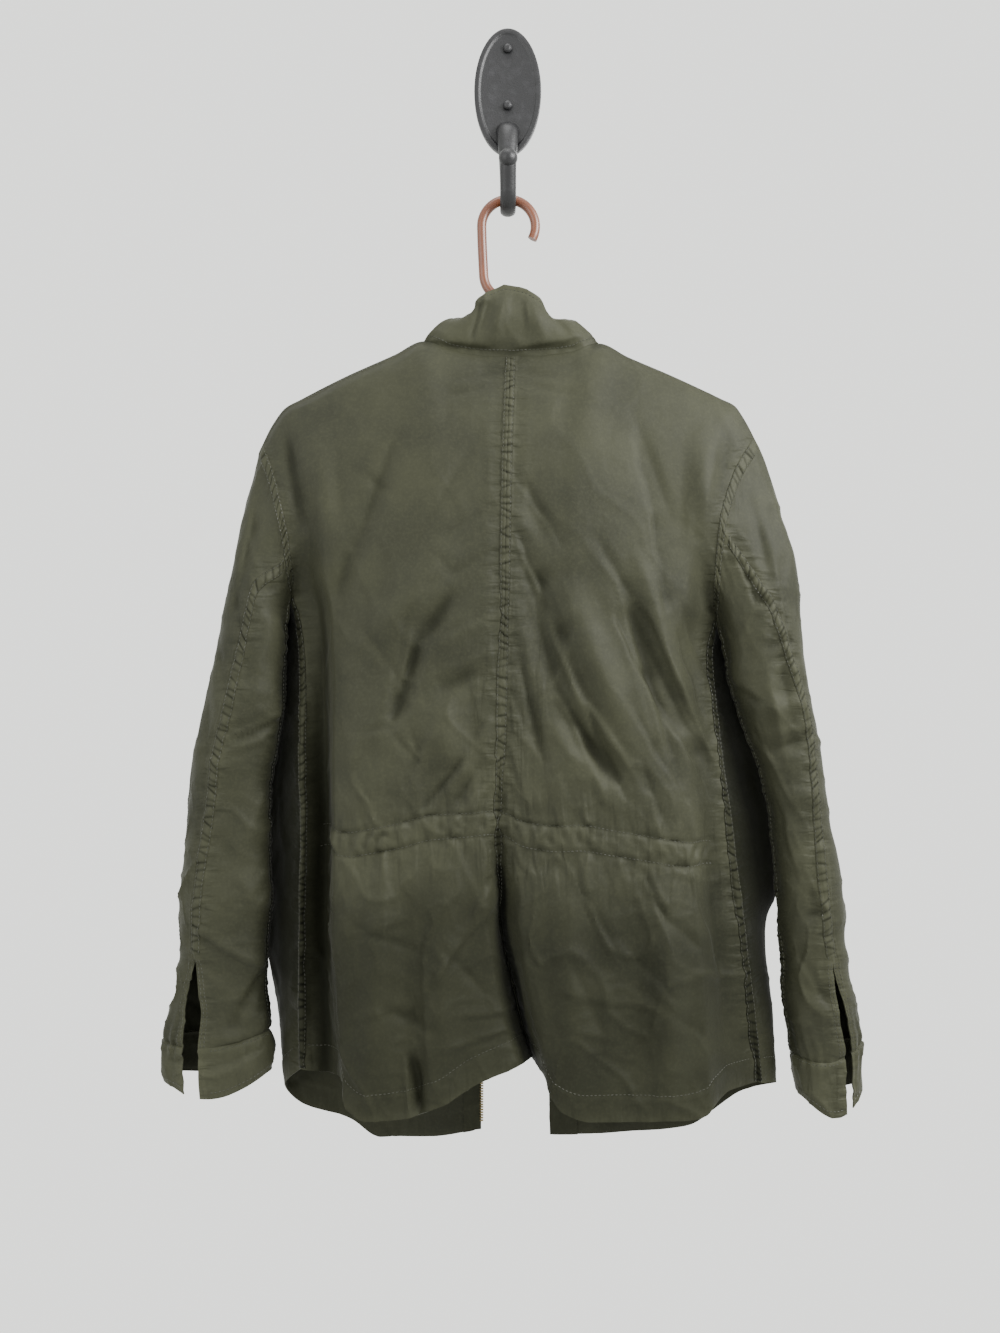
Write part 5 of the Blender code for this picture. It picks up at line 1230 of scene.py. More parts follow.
def cloth_marks(name, net):
    """Painted shade from fold depth and from hanging in shadow, and how gathered a piece is, each from
    0 to 1.
    """
    level = np.arange(len(net))[:, None] + 0 * net[..., 0]
    left = name.endswith("left")
    from_hem = distance(net, 0)
    from_side = distance(net, 1, -1)
    # Painted shade in the folds and in the small creases.
    deep = valley(net) * 0.30 + valley(net, 0.0018, 3, 4) * 0.20
    pulled = np.exp(-(from_hem / 0.014) ** 2) * 0.5
    if name.startswith("front"):
        # Painted shade on the fronts where they hang in shadow behind the back and the sleeves.
        beyond = ease((0.20 - from_side) / 0.08)
        above_hem = ease((from_hem - 0.02) / 0.10)
        deep = np.maximum(deep, 0.80 * beyond * (0.35 + 0.65 * above_hem))
    elif name.startswith("sleeve_under"):
        # Painted shade under the arm, by the inner seam.
        deep = np.maximum(deep, 0.55 * ease((0.030 - from_side) / 0.030))
    elif name.startswith("back"):
        deep = np.maximum(deep, back_painted_shade(net, level, left))
        pulled = np.maximum(pulled, back_gathers(net, level, left))
    elif name.startswith("cuff"):
        pulled = np.full_like(pulled, 0.5)
    elif name == "collar":
        pulled = np.zeros_like(pulled)
    return deep, pulled


print("deepest fold of the left back:", round(float(valley(back_left).max()), 2))

# %% [markdown]
# Each net is now made a mesh, and takes its solid's place. The tapes and the
# strip are cut from the nets of the panels that carry them, a little inside.

# %% Make the cloth
cloth = {}
painted_shades = {}
for name, (net, flip, wear_and_highlight) in nets.items():
    deep, pulled = cloth_marks(name, net)
    ends = np.minimum(distance(net, 1), distance(net, 1, -1))
    painted_shades[name] = deep
    marks = {"pucker": np.exp(-(ends / 0.016) ** 2), "gather": pulled}
    # The inner side takes painted shade; less on the fronts, whose inside shows below the back hem.
    inside_shade = 0.22 if name.startswith("front") else 0.6
    cloth[name] = shell(name + "_cloth", net, flip, CLOTH, wear_and_highlight, 0.0, deep, marks, inside_shade)

TAPE = 0.0010
INSIDE = -(CLOTH + 0.0004)
for name, host, low, high, near, far in (
    ("waist_casing_left", "back_left", WAIST_LOW, WAIST_HIGH, COLUMN_CUTS, 17 * COLUMN_CUTS),
    ("waist_casing_right", "back_right", WAIST_LOW, WAIST_HIGH, COLUMN_CUTS, 17 * COLUMN_CUTS),
    ("zip_tape_left", "front_left", 0, TAPE_TOP, 0, COLUMN_CUTS),
    ("placket_right", "front_right", 0, TAPE_TOP, 0, 2 * COLUMN_CUTS),
):
    net, flip, _ = nets[host]
    piece = net[low:high + 1, near:far + 1]
    # The tapes' inner side takes painted shade too.
    cloth[name] = shell(name + "_cloth", piece, flip, TAPE, None, INSIDE, inside_shade=0.3)
for name, made in cloth.items():
    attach(made, "root")
    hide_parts(name)

# %% [markdown]
# Every long seam is felled: one allowance is folded over the other and sewn
# down twice. Washing shrank the thread, so the band puffs up between narrow
# pinches, like a ladder. The nets are too coarse for that, so each band is a
# fine ribbon of its own, drawn over the seam along the cloth on both sides.

# %% Felled seams
BAND_HALF = 0.0056
ARMHOLE_HALF = 0.0062
BAND_WALL = 0.0008
BAND_STEP = 0.0011
BAND_CELLS = 14
PINCH_STEP = 0.0074
PUFF = 0.0012
BAND_PLACES = np.array([-5.6, -5.2, -4.2, -3.1, -2.0, -0.9, 0.0, 0.9, 2.0, 3.1, 4.2, 5.2, 5.6]) / 1000


def beside(grid, normal, places):
    """Points and normals of a net at given distances in from its first column."""
    run = distance(grid, 1)
    both = np.concatenate([grid, normal], axis=2)
    return np.array([[[np.interp(place, run[i], both[i, :, k]) for k in range(6)]
                      for place in places] for i in range(len(grid))])


def across_seam(first, second, flip_first, flip_second, half=BAND_HALF):
    """Rows of points and normals over a seam that two nets share as their first column."""
    places = BAND_PLACES * half / BAND_HALF
    left = beside(first, grid_normals(first, flip_first), -places[:6])
    right = beside(second, grid_normals(second, flip_second), places[6:])
    return np.concatenate([left, right], axis=1)


def seam_ribbon(name, rows, seed, lies_on, shade):
    """Ladder of puffs along a seam, as a thin closed strip that lies on the cloth."""
    middle = rows[:, len(BAND_PLACES) // 2, :3]
    run = run_along(middle)
    count = int(run[-1] / BAND_STEP)
    marks = np.linspace(0, run[-1], count)
    flat = rows.reshape(len(rows), -1)
    fine = np.array([np.interp(marks, run, flat[:, k]) for k in range(flat.shape[1])]).T
    fine = fine.reshape(count, len(BAND_PLACES), 6)
    normal = fine[..., 3:] / np.linalg.norm(fine[..., 3:], axis=2)[..., None]
    dice = np.random.RandomState(seed)
    pinches = [0.002]
    while pinches[-1] < run[-1]:
        pinches.append(pinches[-1] + PINCH_STEP * dice.uniform(0.6, 1.5))
    pinches = np.array(pinches)
    slant = dice.uniform(-0.5, 0.5, len(pinches))
    strong = dice.uniform(0.45, 1.0, len(pinches))
    share = BAND_PLACES / BAND_HALF
    away = marks[:, None, None] - pinches - slant * BAND_PLACES[None, :, None]
    dip = (np.exp(-(away / 0.0011) ** 2) * strong).max(axis=2)
    puff = (1 - share ** 4)[None, :] * (1 - 0.85 * dip)
    wander = 0.75 + 0.35 * noise(marks[:, None], share[None, :] * 0.004, 0.02, seed)
    rise = 0.00035 + PUFF * puff * wander
    rise = rise - 0.0004 * np.exp(-((np.abs(share) - 0.68) / 0.12) ** 2)[None, :] * (1 - dip)
    rise[:, [0, -1]] = -0.0002
    grid = fine[..., :3] + normal * rise[..., None]
    ends = ease(np.minimum(marks, run[-1] - marks) / 0.004)[:, None, None]
    grid = grid * ends + (fine[..., :3] - normal * 0.0003) * (1 - ends)
    # Tops of the puffs paler, as wear and painted highlight; the pinches darker, as painted shade, on
    # top of the cloth's own painted shade.
    worn = 0.22 + 0.40 * (1 - dip) * (1 - share ** 2)[None, :]
    deep = np.interp(marks, run, shade)[:, None] + 0.7 * dip
    turned = np.cross(np.gradient(grid, axis=1), np.gradient(grid, axis=0))
    flip = (turned * normal).sum() < 0
    made = shell(name, grid, flip, BAND_WALL, worn, 0.0, deep)
    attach(made, "root")
    lines = [np.concatenate([grid[:, k], normal[:, k]], axis=1) for k in (2, 10)]
    ribbons.setdefault(lies_on, []).append(made)
    return made, lines


ribbons = {}
ribbon_lines = {}
seams = []
rows = across_seam(back_left, back_right, True, False)
# Each band takes the painted shade of the cloth under its seam.
seams.append(("band_centre_back", rows, 701, "back_left", painted_shades["back_left"][:, 0]))
for side, back, front, flip in (
    ("left", back_left, front_left, True), ("right", back_right, front_right, False),
):
    low = slice(0, UNDERARM + 1)
    rows = across_seam(back[low, ::-1], front[low, ::-1], not flip, flip)
    # The side seam band takes extra painted shade.
    shade = painted_shades["back_" + side][low, -1] + 0.2
    seams.append(("band_side_" + side, rows, 711, "back_" + side, shade))
    whole, turned = sleeves[side]
    half = whole.shape[1] // 2
    joint = SEAM_COLUMN[side]
    wide = np.concatenate([whole, whole], axis=1)
    vent = int(np.searchsorted(sleeve_levels, 0.765))
    for label, column, last in (("back", joint, vent), ("inner", half, SLEEVE_END + 1)):
        later = wide[3:last, column:column + BAND_CELLS]
        before = wide[3:last, column + 1 - BAND_CELLS:column + 1][:, ::-1]
        rows = across_seam(before, later, not turned, turned)
        # Painted shade along the sleeve seams, more on the inner seam under the arm.
        shade = valley(wide)[3:last, column] + (0.4 if label == "inner" else 0.0)
        seams.append(("band_sleeve_" + label + "_" + side, rows, 721, "sleeve_upper_" + side, shade))
    shoulder = back[UNDERARM:, ::-1][::-1]
    arm = whole[:BAND_CELLS, :half + 1].transpose(1, 0, 2)
    rows = across_seam(shoulder[2:-3], arm[2:-3], flip, not turned, ARMHOLE_HALF)
    # The armhole band takes the back's painted shade.
    shade = painted_shades["back_" + side][UNDERARM:, -1][::-1][2:-3]
    seams.append(("band_armhole_" + side, rows, 731, "sleeve_upper_" + side, shade))
for number, (name, rows, seed, lies_on, shade) in enumerate(seams):
    made, lines = seam_ribbon(name, rows, seed + number, lies_on, shade)
    ribbon_lines[name] = lines
    print(name, len(made.data.polygons), "faces")

# %% [markdown]
# Topstitching holds each seam flat. One stitch is a tiny sunk lozenge of
# thread. It is drawn slightly thicker than real thread, so that it still shows
# when the whole garment is in view, and repeated along lines on the cloth.

# %% Topstitching
STITCH = 0.0028
STITCH_STEP = 0.0038
THREAD = 0.00033


def line_beside(net, flip, away, towards_side, low=0, high=None, lengthwise=True):
    """Points and normals along a net, a given distance in from one of its edges."""
    grid = net if lengthwise else net.transpose(1, 0, 2)
    normal = grid_normals(net, flip)
    normal = normal if lengthwise else normal.transpose(1, 0, 2)
    if towards_side:
        grid = grid[:, ::-1]
        normal = normal[:, ::-1]
    run = distance(grid, 1)
    points = []
    for i in range(len(grid))[low:high]:
        spot = [np.interp(away, run[i], grid[i, :, k]) for k in range(3)]
        lean = [np.interp(away, run[i], normal[i, :, k]) for k in range(3)]
        points.append(spot + lean)
    return np.array(points)


def sew(name, lines):
    """Rows of stitches along lines of points and normals, as one piece."""
    verts = []
    faces = []
    for line in lines:
        run = run_along(line[:, :3])
        starts = np.arange(0.001, run[-1] - STITCH, STITCH_STEP)
        for start in starts:
            at = np.array([[np.interp(start + s * STITCH, run, line[:, k]) for k in range(6)]
                           for s in (0.0, 0.25, 0.75, 1.0)])
            way = at[3, :3] - at[0, :3]
            way = way / np.linalg.norm(way)
            up = at[1, 3:] / np.linalg.norm(at[1, 3:])
            over = np.cross(way, up)
            base = len(verts)
            verts.append(at[0, :3] - up * 0.0001)
            for k in (1, 2):
                middle = at[k, :3] + up * 0.00012
                verts += [middle + over * THREAD, middle + up * THREAD,
                          middle - over * THREAD, middle - up * THREAD]
            verts.append(at[3, :3] - up * 0.0001)
            for k in range(4):
                m = (k + 1) % 4
                faces.append((base, base + 1 + m, base + 1 + k))
                faces.append((base + 1 + k, base + 1 + m, base + 5 + m, base + 5 + k))
                faces.append((base + 5 + k, base + 5 + m, base + 9))
    mesh = bpy.data.meshes.new(name)
    mesh.from_pydata([tuple(v) for v in verts], [], faces)
    made = bpy.data.objects.new(name, mesh)
    bpy.context.scene.collection.objects.link(made)
    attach(made, "root")
    return made


stitches = []
for name in ("back_left", "back_right"):
    net, flip, _ = nets[name]
    lines = [line_beside(net, flip, HEM, False, 2, -2, lengthwise=False)]
    lines += [line_beside(net, flip, 0.0030, True, 44, -4, lengthwise=False)]
    for row in (WAIST_LOW, WAIST_HIGH):
        normal = grid_normals(net, flip)
        lines.append(np.concatenate([net[row, 2:-8], normal[row, 2:-8]], axis=1))
    stitches.append(sew("topstitch_" + name, lines))
for name in ("front_left", "front_right"):
    net, flip, _ = nets[name]
    lines = [line_beside(net, flip, HEM, False, 2, -2, lengthwise=False)]
    lines += [line_beside(net, flip, 0.005, False, 4, -10)]
    stitches.append(sew("topstitch_" + name, lines))
for side in ("left", "right"):
    net, flip, _ = nets["sleeve_under_" + side]
    lines = [line_beside(net, flip, away, False, vent) for away in SLEEVE_ROWS]
    stitches.append(sew("topstitch_sleeve_under_" + side, lines))
    net, flip, _ = nets["sleeve_upper_" + side]
    lines = [line_beside(net, flip, away, True, vent) for away in SLEEVE_ROWS]
    lines += [line_beside(net, flip, away, False, 2, -2, lengthwise=False) for away in ARM_ROWS]
    stitches.append(sew("topstitch_sleeve_upper_" + side, lines))
    net, flip, _ = nets["cuff_" + side]
    lines = [line_beside(net, flip, 0.0030, False, 2, -2, lengthwise=False)]
    lines += [line_beside(net, flip, 0.0060, True, 2, -2, lengthwise=False)]
    stitches.append(sew("topstitch_cuff_" + side, lines))
net, flip, _ = nets["collar"]
lines = [line_beside(net, flip, 0.0045, True, 2, -2, lengthwise=False)]
lines += [line_beside(net, flip, 0.0060, False, 2, -2, lengthwise=False)]
stitches.append(sew("topstitch_collar", lines))
for name, lines in ribbon_lines.items():
    stitches.append(sew("topstitch_" + name, lines))
print("rows of stitches on", len(stitches), "pieces")

# %% [markdown]
# A zip tooth is a small metal block that grips the tape's edge. One is made
# from a cube with its edges bevelled, and then repeated up the left front edge
# at the pitch of a medium zip.

# %% Zip teeth
ZIP_PITCH = 0.0026
TOOTH_SIZE = (0.0034, 0.0020, 0.0014)
TOOTH_OFFSET = np.array([0.0004, -0.0030, 0])


def deselect():
    """Leave edit mode with nothing selected."""
    if bpy.context.mode != "OBJECT":
        bpy.ops.object.mode_set(mode="OBJECT")
    bpy.ops.object.select_all(action="DESELECT")


def apply_place(made):
    """Leave a piece at the origin, unturned and unscaled."""
    deselect()
    made.select_set(True)
    bpy.context.view_layer.objects.active = made
    bpy.ops.object.transform_apply(location=True, rotation=True, scale=True)


deselect()
bpy.ops.mesh.primitive_cube_add(size=1)
tooth = bpy.context.object
tooth.name = "zip_teeth"
tooth.scale = TOOTH_SIZE
apply_place(tooth)
bpy.ops.object.mode_set(mode="EDIT")
bpy.ops.mesh.select_all(action="SELECT")
bpy.ops.mesh.bevel(offset=0.0003, segments=1, affect="EDGES")
bpy.ops.object.mode_set(mode="OBJECT")
edge = nets["front_left"][0][4:TAPE_TOP, 0]
edge_run = run_along(edge)
shape = np.array([vert.co[:] for vert in tooth.data.vertices])
shape_faces = [tuple(face.vertices) for face in tooth.data.polygons]
verts = []
faces = []
for at in np.arange(0, edge_run[-1], ZIP_PITCH):
    spot = np.array([np.interp(at, edge_run, edge[:, k]) for k in range(3)])
    base = len(verts)
    verts += [tuple(point) for point in shape + spot + TOOTH_OFFSET]
    faces += [tuple(base + k for k in face) for face in shape_faces]
tooth.data.clear_geometry()
tooth.data.from_pydata(verts, [], faces)
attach(tooth, "root")
print("zip teeth:", len(verts) // len(shape))

# %% [markdown]
# The hanger is a plastic tube bent to a triangle with a hook moulded on. It is
# drawn as one closed line and one open line, and each is given a round bevel,
# as a pipe is bent. The corners are the ends and handles of smooth curves.

# %% Hanger
TUBE = 0.0046
HANGER_Y = -0.050
HOOK_MIDDLE = (0.0005, -0.1200)
HOOK_RADIUS = 0.0255


def bezier(a, b, c, d, steps):
    """Points on a cubic curve, without its first point."""
    found = []
    for i in range(1, steps + 1):
        t = i / steps
        s = 1 - t
        found.append(tuple(
            s ** 3 * a[k] + 3 * s * s * t * b[k] + 3 * s * t * t * c[k] + t ** 3 * d[k]
            for k in range(3)
        ))
    return found


def pipe(name, points, radius, closed):
    """Curve drawn through points, given a round section and made a mesh."""
    deselect()
    bpy.ops.curve.primitive_bezier_curve_add()
    made = bpy.context.object
    made.name = name
    curve = made.data
    curve.splines.clear()
    line = curve.splines.new("POLY")
    line.points.add(len(points) - 1)
    for k, (spot, point) in enumerate(zip(points, line.points)):
        point.co = (*spot, 1)
        point.radius = radius[k] if isinstance(radius, list) else radius
    line.use_cyclic_u = closed
    curve.bevel_depth = 1.0
    curve.bevel_resolution = 5
    curve.use_fill_caps = not closed
    bpy.ops.object.convert(target="MESH")
    bpy.ops.object.shade_smooth_by_angle(angle=math.radians(50))
    return bpy.context.object


corners = [
    (0.0010, -0.2060), (-0.0200, -0.2130), (-0.0300, -0.2202), (-0.0500, -0.2288),
    (-0.10, -0.2509), (-0.15, -0.2730), (-0.1900, -0.2907), (-0.2070, -0.2985),
    (-0.2070, -0.3240), (-0.1850, -0.3260), (-0.06, -0.3300), (0.06, -0.3300),
    (0.1870, -0.3260), (0.2090, -0.3240), (0.2090, -0.2985), (0.1920, -0.2907),
    (0.15, -0.2721), (0.10, -0.2500), (0.0520, -0.2284), (0.0320, -0.2198),
    (0.0220, -0.2130), (0.0010, -0.2060),
]
corners = [(x, HANGER_Y, z) for x, z in corners]
frame_line = [corners[0]]
for k in range(0, len(corners) - 1, 3):
    frame_line += bezier(*corners[k:k + 4], 14)
hanger_frame = pipe("hanger_frame", frame_line[:-1], TUBE, True)
stem_marks = [
    (0.0010, -0.2060), (0.0010, -0.1850), (-0.0200, -0.1900), (-0.0230, -0.1680),
    (-0.0236, -0.1550), (-0.0246, -0.1400), (-0.0250, -0.1200),
]
stem_marks = [(x, HANGER_Y, z) for x, z in stem_marks]
stem = [stem_marks[0]]
stem += bezier(*stem_marks[:4], 14)
stem += bezier(*stem_marks[3:], 8)
for i in range(1, 53):
    angle = math.radians(180 - 4 * i)
    x = HOOK_MIDDLE[0] + HOOK_RADIUS * math.cos(angle)
    stem.append((x, HANGER_Y, HOOK_MIDDLE[1] + HOOK_RADIUS * math.sin(angle)))
hanger_hook = pipe("hanger_hook", stem, TUBE, False)
for made in (hanger_frame, hanger_hook):
    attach(made, "root")
    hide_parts("hanger")
print("hanger faces:", len(hanger_frame.data.polygons) + len(hanger_hook.data.polygons))

# %% [markdown]
# The wall hook is cast iron: a plain oval plate with a raised rim, and an arm
# that drops from it and turns up to a knob. The plate is a cylinder turned on
# its side, its face drawn in and pushed back to leave the rim.

# %% Wall hook
deselect()
bpy.ops.mesh.primitive_cylinder_add(
    vertices=72, radius=1, depth=1, location=(0, -0.004, 0.028), rotation=(math.pi / 2, 0, 0))
plate = bpy.context.object
plate.name = "hook_plate"
plate.scale = (0.033, 0.062, 0.0079)
apply_place(plate)
bpy.ops.object.mode_set(mode="EDIT")
bpy.ops.mesh.select_all(action="DESELECT")
bpy.ops.object.mode_set(mode="OBJECT")
for face in plate.data.polygons:
    face.select = face.normal.y < -0.9
bpy.ops.object.mode_set(mode="EDIT")
bpy.ops.mesh.select_mode(type="FACE")
bpy.ops.mesh.inset(thickness=0.0045, depth=0)
bpy.ops.mesh.inset(thickness=0.0016, depth=-0.0014)
bpy.ops.object.mode_set(mode="OBJECT")
soften = plate.modifiers.new("soften", "BEVEL")
soften.width = 0.0009
soften.segments = 3
soften.limit_method = "ANGLE"
soften.angle_limit = math.radians(25)
bpy.ops.object.modifier_apply(modifier="soften")
bpy.ops.object.shade_smooth_by_angle(angle=math.radians(40))

# The arm, as y and z of the ends and handles of three curves; it tapers, and is wider than deep
ARM_MARKS = [
    (-0.0078, -0.0104), (-0.0190, -0.0130), (-0.0200, -0.0700), (-0.0300, -0.0880),
    (-0.0390, -0.1090), (-0.0620, -0.1120), (-0.0700, -0.0900), (-0.0740, -0.0800),
    (-0.0770, -0.0750), (-0.0790, -0.0690),
]
ARM_THICK = 0.0078
ARM_TAPER = 0.0026
ARM_WIDE = 1.45
arm_marks = [(0, y, z) for y, z in ARM_MARKS]
arm_path = [(0, -0.0020, -0.0100), arm_marks[0]]
for k, steps in ((0, 16), (3, 18), (6, 6)):
    arm_path += bezier(*arm_marks[k:k + 4], steps)
arm_sizes = [ARM_THICK - ARM_TAPER * float(ease(k / 14)) for k in range(len(arm_path))]
arm = pipe("hook_arm", arm_path, arm_sizes, False)
for vert in arm.data.vertices:
    vert.co.x *= ARM_WIDE
deselect()
bpy.ops.mesh.primitive_uv_sphere_add(
    segments=28, ring_count=16, radius=0.0088, location=(0, -0.0792, -0.0665))
knob = bpy.context.object
knob.name = "hook_knob"
apply_place(knob)
bpy.ops.object.shade_smooth()
for made in (plate, arm, knob):
    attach(made, "root")
    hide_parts("wall_hook")
print("hook faces:", sum(len(made.data.polygons) for made in (plate, arm, knob)))

# %% [markdown]
# Colours are read as screen values, but a shader wants linear light, so one
# function turns one into the other. Another adds a node with its settings.

# %% Colour and nodes


def linear(code):
    """Screen colour such as '#808080' as linear red, green, blue and one."""
    parts = [int(code[k:k + 2], 16) / 255 for k in (1, 3, 5)]
    return (*[c / 12.92 if c <= 0.04045 else ((c + 0.055) / 1.055) ** 2.4 for c in parts], 1)


def add(tree, kind, settings=None, inputs=None):
    """New node with its settings, and inputs that are values or sockets."""
    made = tree.nodes.new("ShaderNode" + kind)
    for key, value in (settings or {}).items():
        setattr(made, key, value)
    for key, value in (inputs or {}).items():
        if isinstance(value, bpy.types.NodeSocket):
            tree.links.new(value, made.inputs[key])
        else:
            made.inputs[key].default_value = value
    return made


def start(name):
    """New material, with its node tree and its shader."""
    made = bpy.data.materials.new(name)
    made.use_nodes = True
    return made, made.node_tree, made.node_tree.nodes["Principled BSDF"]


def blend_colours(tree, factor, first, second):
    """Colour between two, each a screen colour or a socket."""
    mix = add(tree, "Mix", {"data_type": "RGBA"})
    tree.links.new(factor, mix.inputs[0])
    for socket, colour in ((mix.inputs[6], first), (mix.inputs[7], second)):
        if isinstance(colour, bpy.types.NodeSocket):
            tree.links.new(colour, socket)
        else:
            socket.default_value = linear(colour)
    return mix.outputs[2]


print("grey 50% is", round(linear("#808080")[0], 3), "in linear light")

# %% [markdown]
# The cloth is a plain-woven cotton and nylon, dyed olive and washed. Washing
# takes dye from the seams, so they are paler. Ridges are painted paler as
# painted highlight, and folds darker as painted shade.
# The nylon gives it a faint sheen. The weave, about half a millimetre between
# threads, is drawn at twice that so that it shows in close views.

# %% Washed olive cloth
FOLD_SHADE = "#0a0b07"


def washed_cloth(name, dark, pale, worn, roughness):
    """Plain weave, dyed dark to pale in clouds, worn at seams, with painted highlight on ridges and
    painted shade in folds.
    """
    made, tree, shader = start(name)
    spot = add(tree, "TexCoord")
    place = add(tree, "UVMap", {"uv_map": "cloth"})
    clouds = add(tree, "TexNoise", None, {
        "Vector": spot.outputs["Object"], "Scale": 14.0, "Detail": 5.0, "Roughness": 0.6})
    flecks = add(tree, "TexNoise", None, {
        "Vector": spot.outputs["Object"], "Scale": 380.0, "Detail": 2.0})
    clouded = add(tree, "MapRange", None, {
        "Value": clouds.outputs[0], "From Min": 0.35, "From Max": 0.65})
    colour = blend_colours(tree, clouded.outputs[0], dark, pale)
    fleck = add(tree, "MapRange", None, {
        "Value": flecks.outputs[0], "From Min": 0.45, "From Max": 0.75, "To Max": 0.16})
    colour = blend_colours(tree, fleck.outputs[0], colour, worn)
    # Seams paler from wear, and ridges paler as painted highlight.
    wear_and_highlight = add(tree, "Attribute", {"attribute_name": "wear_and_highlight"})
    rubbed_and_lit = add(tree, "Math", {"operation": "MULTIPLY"}, {
        0: wear_and_highlight.outputs["Fac"], 1: 0.42})
    colour = blend_colours(tree, rubbed_and_lit.outputs[0], colour, worn)
    # Painted shade: the valley attribute darkens the colour towards FOLD_SHADE in folds, pinches, the
    # fronts behind the back and the jacket's inside.
    fold = add(tree, "Attribute", {"attribute_name": "valley"})
    painted_fold_shade = add(tree, "Math", {"operation": "MULTIPLY"}, {0: fold.outputs["Fac"], 1: 0.95})
    colour = blend_colours(tree, painted_fold_shade.outputs[0], colour, FOLD_SHADE)
    tree.links.new(colour, shader.inputs["Base Color"])
    # The same painted shade also takes the gloss out of the folds.
    gloss = add(tree, "MapRange", None, {
        "Value": fold.outputs["Fac"], "From Max": 0.8, "To Min": 0.15, "To Max": 0.03})
    tree.links.new(gloss.outputs[0], shader.inputs["Specular IOR Level"])
    warp = add(tree, "TexWave", {"wave_type": "BANDS", "bands_direction": "X"}, {
        "Vector": place.outputs[0], "Scale": 300.0, "Distortion": 0.6, "Detail": 1.0})
    weft = add(tree, "TexWave", {"wave_type": "BANDS", "bands_direction": "Y"}, {
        "Vector": place.outputs[0], "Scale": 300.0, "Distortion": 0.6, "Detail": 1.0})
    weave = add(tree, "Math", {"operation": "MULTIPLY"}, {
        0: warp.outputs["Fac"], 1: weft.outputs["Fac"]})
    grain = add(tree, "Bump", None, {
        "Strength": 0.25, "Distance": 0.0002, "Height": weave.outputs[0]})
    ripple = add(tree, "TexNoise", None, {
        "Vector": spot.outputs["Object"], "Scale": 150.0, "Detail": 5.0, "Distortion": 0.5})
    fine = add(tree, "Bump", None, {
        "Strength": 0.35, "Distance": 0.0007, "Height": ripple.outputs[0],
        "Normal": grain.outputs[0]})
    normal = fine.outputs[0]
    for key, size, reach in (("pucker", (32, 32, 105), 0.0028), ("gather", (74, 30, 15), 0.0050)):
        stretched = add(tree, "Mapping", None, {"Vector": spot.outputs["Object"], "Scale": size})
        wrinkle = add(tree, "TexNoise", None, {
            "Vector": stretched.outputs[0], "Scale": 1.0, "Detail": 2.0, "Roughness": 0.45,
            "Distortion": 0.25})
        crest = add(tree, "MapRange", {"interpolation_type": "SMOOTHSTEP"}, {
            "Value": wrinkle.outputs[0], "From Min": 0.38, "From Max": 0.62})
        amount = add(tree, "Attribute", {"attribute_name": key})
        height = add(tree, "Math", {"operation": "MULTIPLY"}, {
            0: crest.outputs[0], 1: amount.outputs["Fac"]})
        normal = add(tree, "Bump", None, {
            "Strength": 0.5, "Distance": reach, "Height": height.outputs[0],
            "Normal": normal}).outputs[0]
    tree.links.new(normal, shader.inputs["Normal"])
    shader.inputs["Roughness"].default_value = roughness
    shader.inputs["Sheen Weight"].default_value = 0.03
    shader.inputs["Sheen Roughness"].default_value = 0.45
    return made


olive_cloth = washed_cloth("washed olive cotton and nylon", "#1f2015", "#28291c", "#3d3e2e", 0.62)
olive_tape = washed_cloth("olive cotton tape", "#24251b", "#2d2e22", "#434432", 0.8)
thread, thread_tree, thread_shader = start("olive polyester thread")
twist = add(thread_tree, "TexNoise", None, {
    "Vector": add(thread_tree, "TexCoord").outputs["Object"], "Scale": 900.0})
thread_colour = blend_colours(thread_tree, twist.outputs[0], "#1b1c13", "#2c2d22")
thread_tree.links.new(thread_colour, thread_shader.inputs["Base Color"])
thread_shader.inputs["Roughness"].default_value = 0.55
print("cloth materials:", olive_cloth.name, "and", olive_tape.name)

# %% [markdown]
# The hanger is moulded from amber plastic that lets a little light through. Use
# has dulled its gloss, and faint flow streaks vary its colour along the tube.
# The hook is cast iron, painted black: the sand of the mould leaves it pitted.
# The zip is brass, darkened with age.

# %% Plastic, iron and brass
amber, amber_tree, amber_shader = start("moulded amber styrene")
streak = add(amber_tree, "TexNoise", None, {
    "Vector": add(amber_tree, "TexCoord").outputs["Object"], "Scale": 40.0, "Detail": 3.0})
amber_colour = blend_colours(amber_tree, streak.outputs[0], "#4a200b", "#6c3817")
amber_tree.links.new(amber_colour, amber_shader.inputs["Base Color"])
amber_shader.inputs["Roughness"].default_value = 0.38
amber_shader.inputs["IOR"].default_value = 1.55
amber_shader.inputs["Transmission Weight"].default_value = 0.15
iron, iron_tree, iron_shader = start("black painted cast iron")
where = add(iron_tree, "TexCoord").outputs["Object"]
pits = add(iron_tree, "TexNoise", None, {"Vector": where, "Scale": 700.0, "Detail": 4.0})
lumps = add(iron_tree, "TexNoise", None, {"Vector": where, "Scale": 120.0, "Detail": 3.0})
worn = add(iron_tree, "MapRange", None, {
    "Value": lumps.outputs[0], "From Min": 0.5, "From Max": 0.75})
iron_colour = blend_colours(iron_tree, worn.outputs[0], "#0a0a0c", "#19191b")
iron_tree.links.new(iron_colour, iron_shader.inputs["Base Color"])
dents = add(iron_tree, "Bump", None, {
    "Strength": 0.5, "Distance": 0.0004, "Height": pits.outputs[0]})
iron_tree.links.new(dents.outputs[0], iron_shader.inputs["Normal"])
iron_shader.inputs["Roughness"].default_value = 0.45
iron_shader.inputs["Specular IOR Level"].default_value = 0.4
brass, brass_tree, brass_shader = start("antique brass zip")
tarnish = add(brass_tree, "TexNoise", None, {
    "Vector": add(brass_tree, "TexCoord").outputs["Object"], "Scale": 300.0})
brass_colour = blend_colours(brass_tree, tarnish.outputs[0], "#4a4230", "#8a7a52")
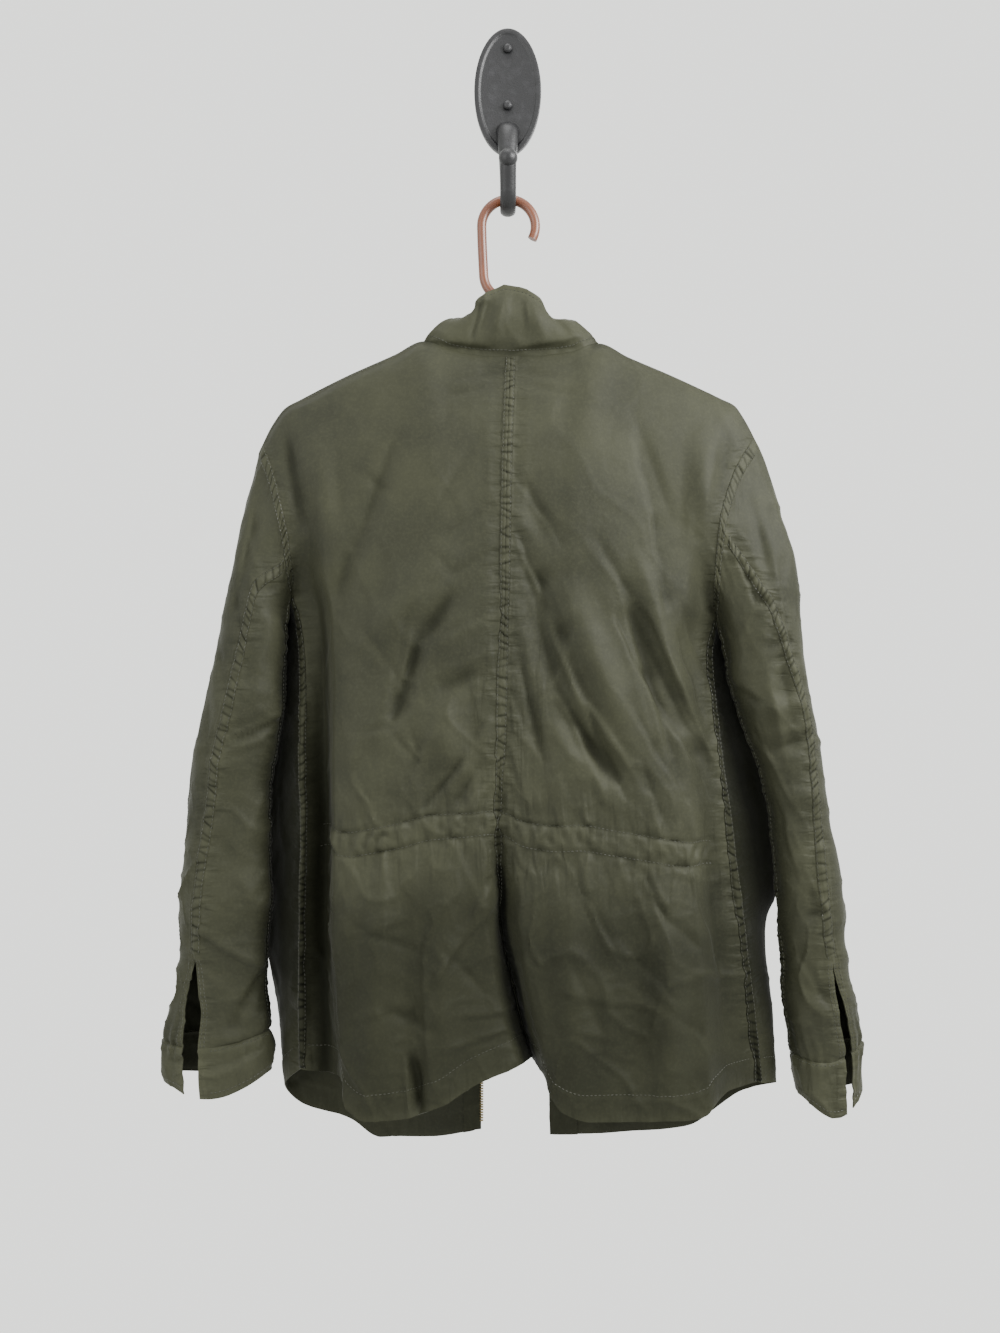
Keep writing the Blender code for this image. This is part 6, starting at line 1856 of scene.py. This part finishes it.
brass_tree.links.new(brass_colour, brass_shader.inputs["Base Color"])
brass_shader.inputs["Metallic"].default_value = 0.9
brass_shader.inputs["Roughness"].default_value = 0.4


def wear_material(made, finish):
    """Give a piece its one finish."""
    made.data.materials.clear()
    made.data.materials.append(finish)


for name, made in cloth.items():
    wear_material(made, olive_tape if name.startswith(("waist", "zip")) else olive_cloth)
for bands in ribbons.values():
    for made in bands:
        wear_material(made, olive_cloth)
for made in stitches:
    wear_material(made, thread)
wear_material(tooth, brass)
for made in (hanger_frame, hanger_hook):
    wear_material(made, amber)
for made in (plate, arm, knob):
    wear_material(made, iron)
for name in ("screw_top", "screw_low"):
    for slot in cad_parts[name].material_slots:
        slot.material = iron
print("finishes:", len(bpy.data.materials))

# %% [markdown]
# The camera stands square to the garment's back at the height of its middle.
# The floor lies below the picture. The strongest light is a window to the upper
# right, as in the photograph. Weaker ones from the left, above and the far side
# and a pale surround fill the shadows.

# %% Floor, light and camera
EYE = (-0.0076, -1.25, -0.538)
LIT = Vector((0, -0.05, -0.50))
FOCAL_PIXELS = 1263
PICTURE_HEIGHT = 1333
SENSOR = 36
deselect()
bpy.ops.mesh.primitive_plane_add(size=2.4, location=(0, 0, -1.90))
floor = bpy.context.object
floor.name = "floor"
apply_place(floor)
plaster, _, plaster_shader = start("pale matt floor")
plaster_shader.inputs["Base Color"].default_value = linear("#dcdcd8")
plaster_shader.inputs["Roughness"].default_value = 0.95
wear_material(floor, plaster)

for name, place, size, power in (
    ("window light", (1.02, -0.76, 0.22), 0.7, 52),
    ("fill light", (-1.30, -1.30, -0.10), 1.4, 21),
    ("top light", (-0.1, -0.45, 1.00), 0.7, 10),
    ("rear light", (0.6, 1.80, 0.60), 1.6, 26),
):
    bpy.ops.object.light_add(type="AREA", location=place)
    lamp = bpy.context.object
    lamp.name = name
    lamp.data.size = size
    lamp.data.energy = power
    lamp.rotation_euler = (LIT - Vector(place)).to_track_quat("-Z", "Y").to_euler()
world = bpy.data.worlds.new("pale surround")
bpy.context.scene.world = world
world.use_nodes = True
world.node_tree.nodes["Background"].inputs[0].default_value = linear("#dcddda")
world.node_tree.nodes["Background"].inputs[1].default_value = 2.4

bpy.ops.object.camera_add(location=EYE, rotation=(math.pi / 2, 0, 0))
camera = bpy.context.object
camera.data.sensor_fit = "VERTICAL"
camera.data.sensor_height = SENSOR
camera.data.lens = SENSOR * FOCAL_PIXELS / PICTURE_HEIGHT
bpy.context.scene.camera = camera
print("camera lens", round(camera.data.lens, 2), "mm")
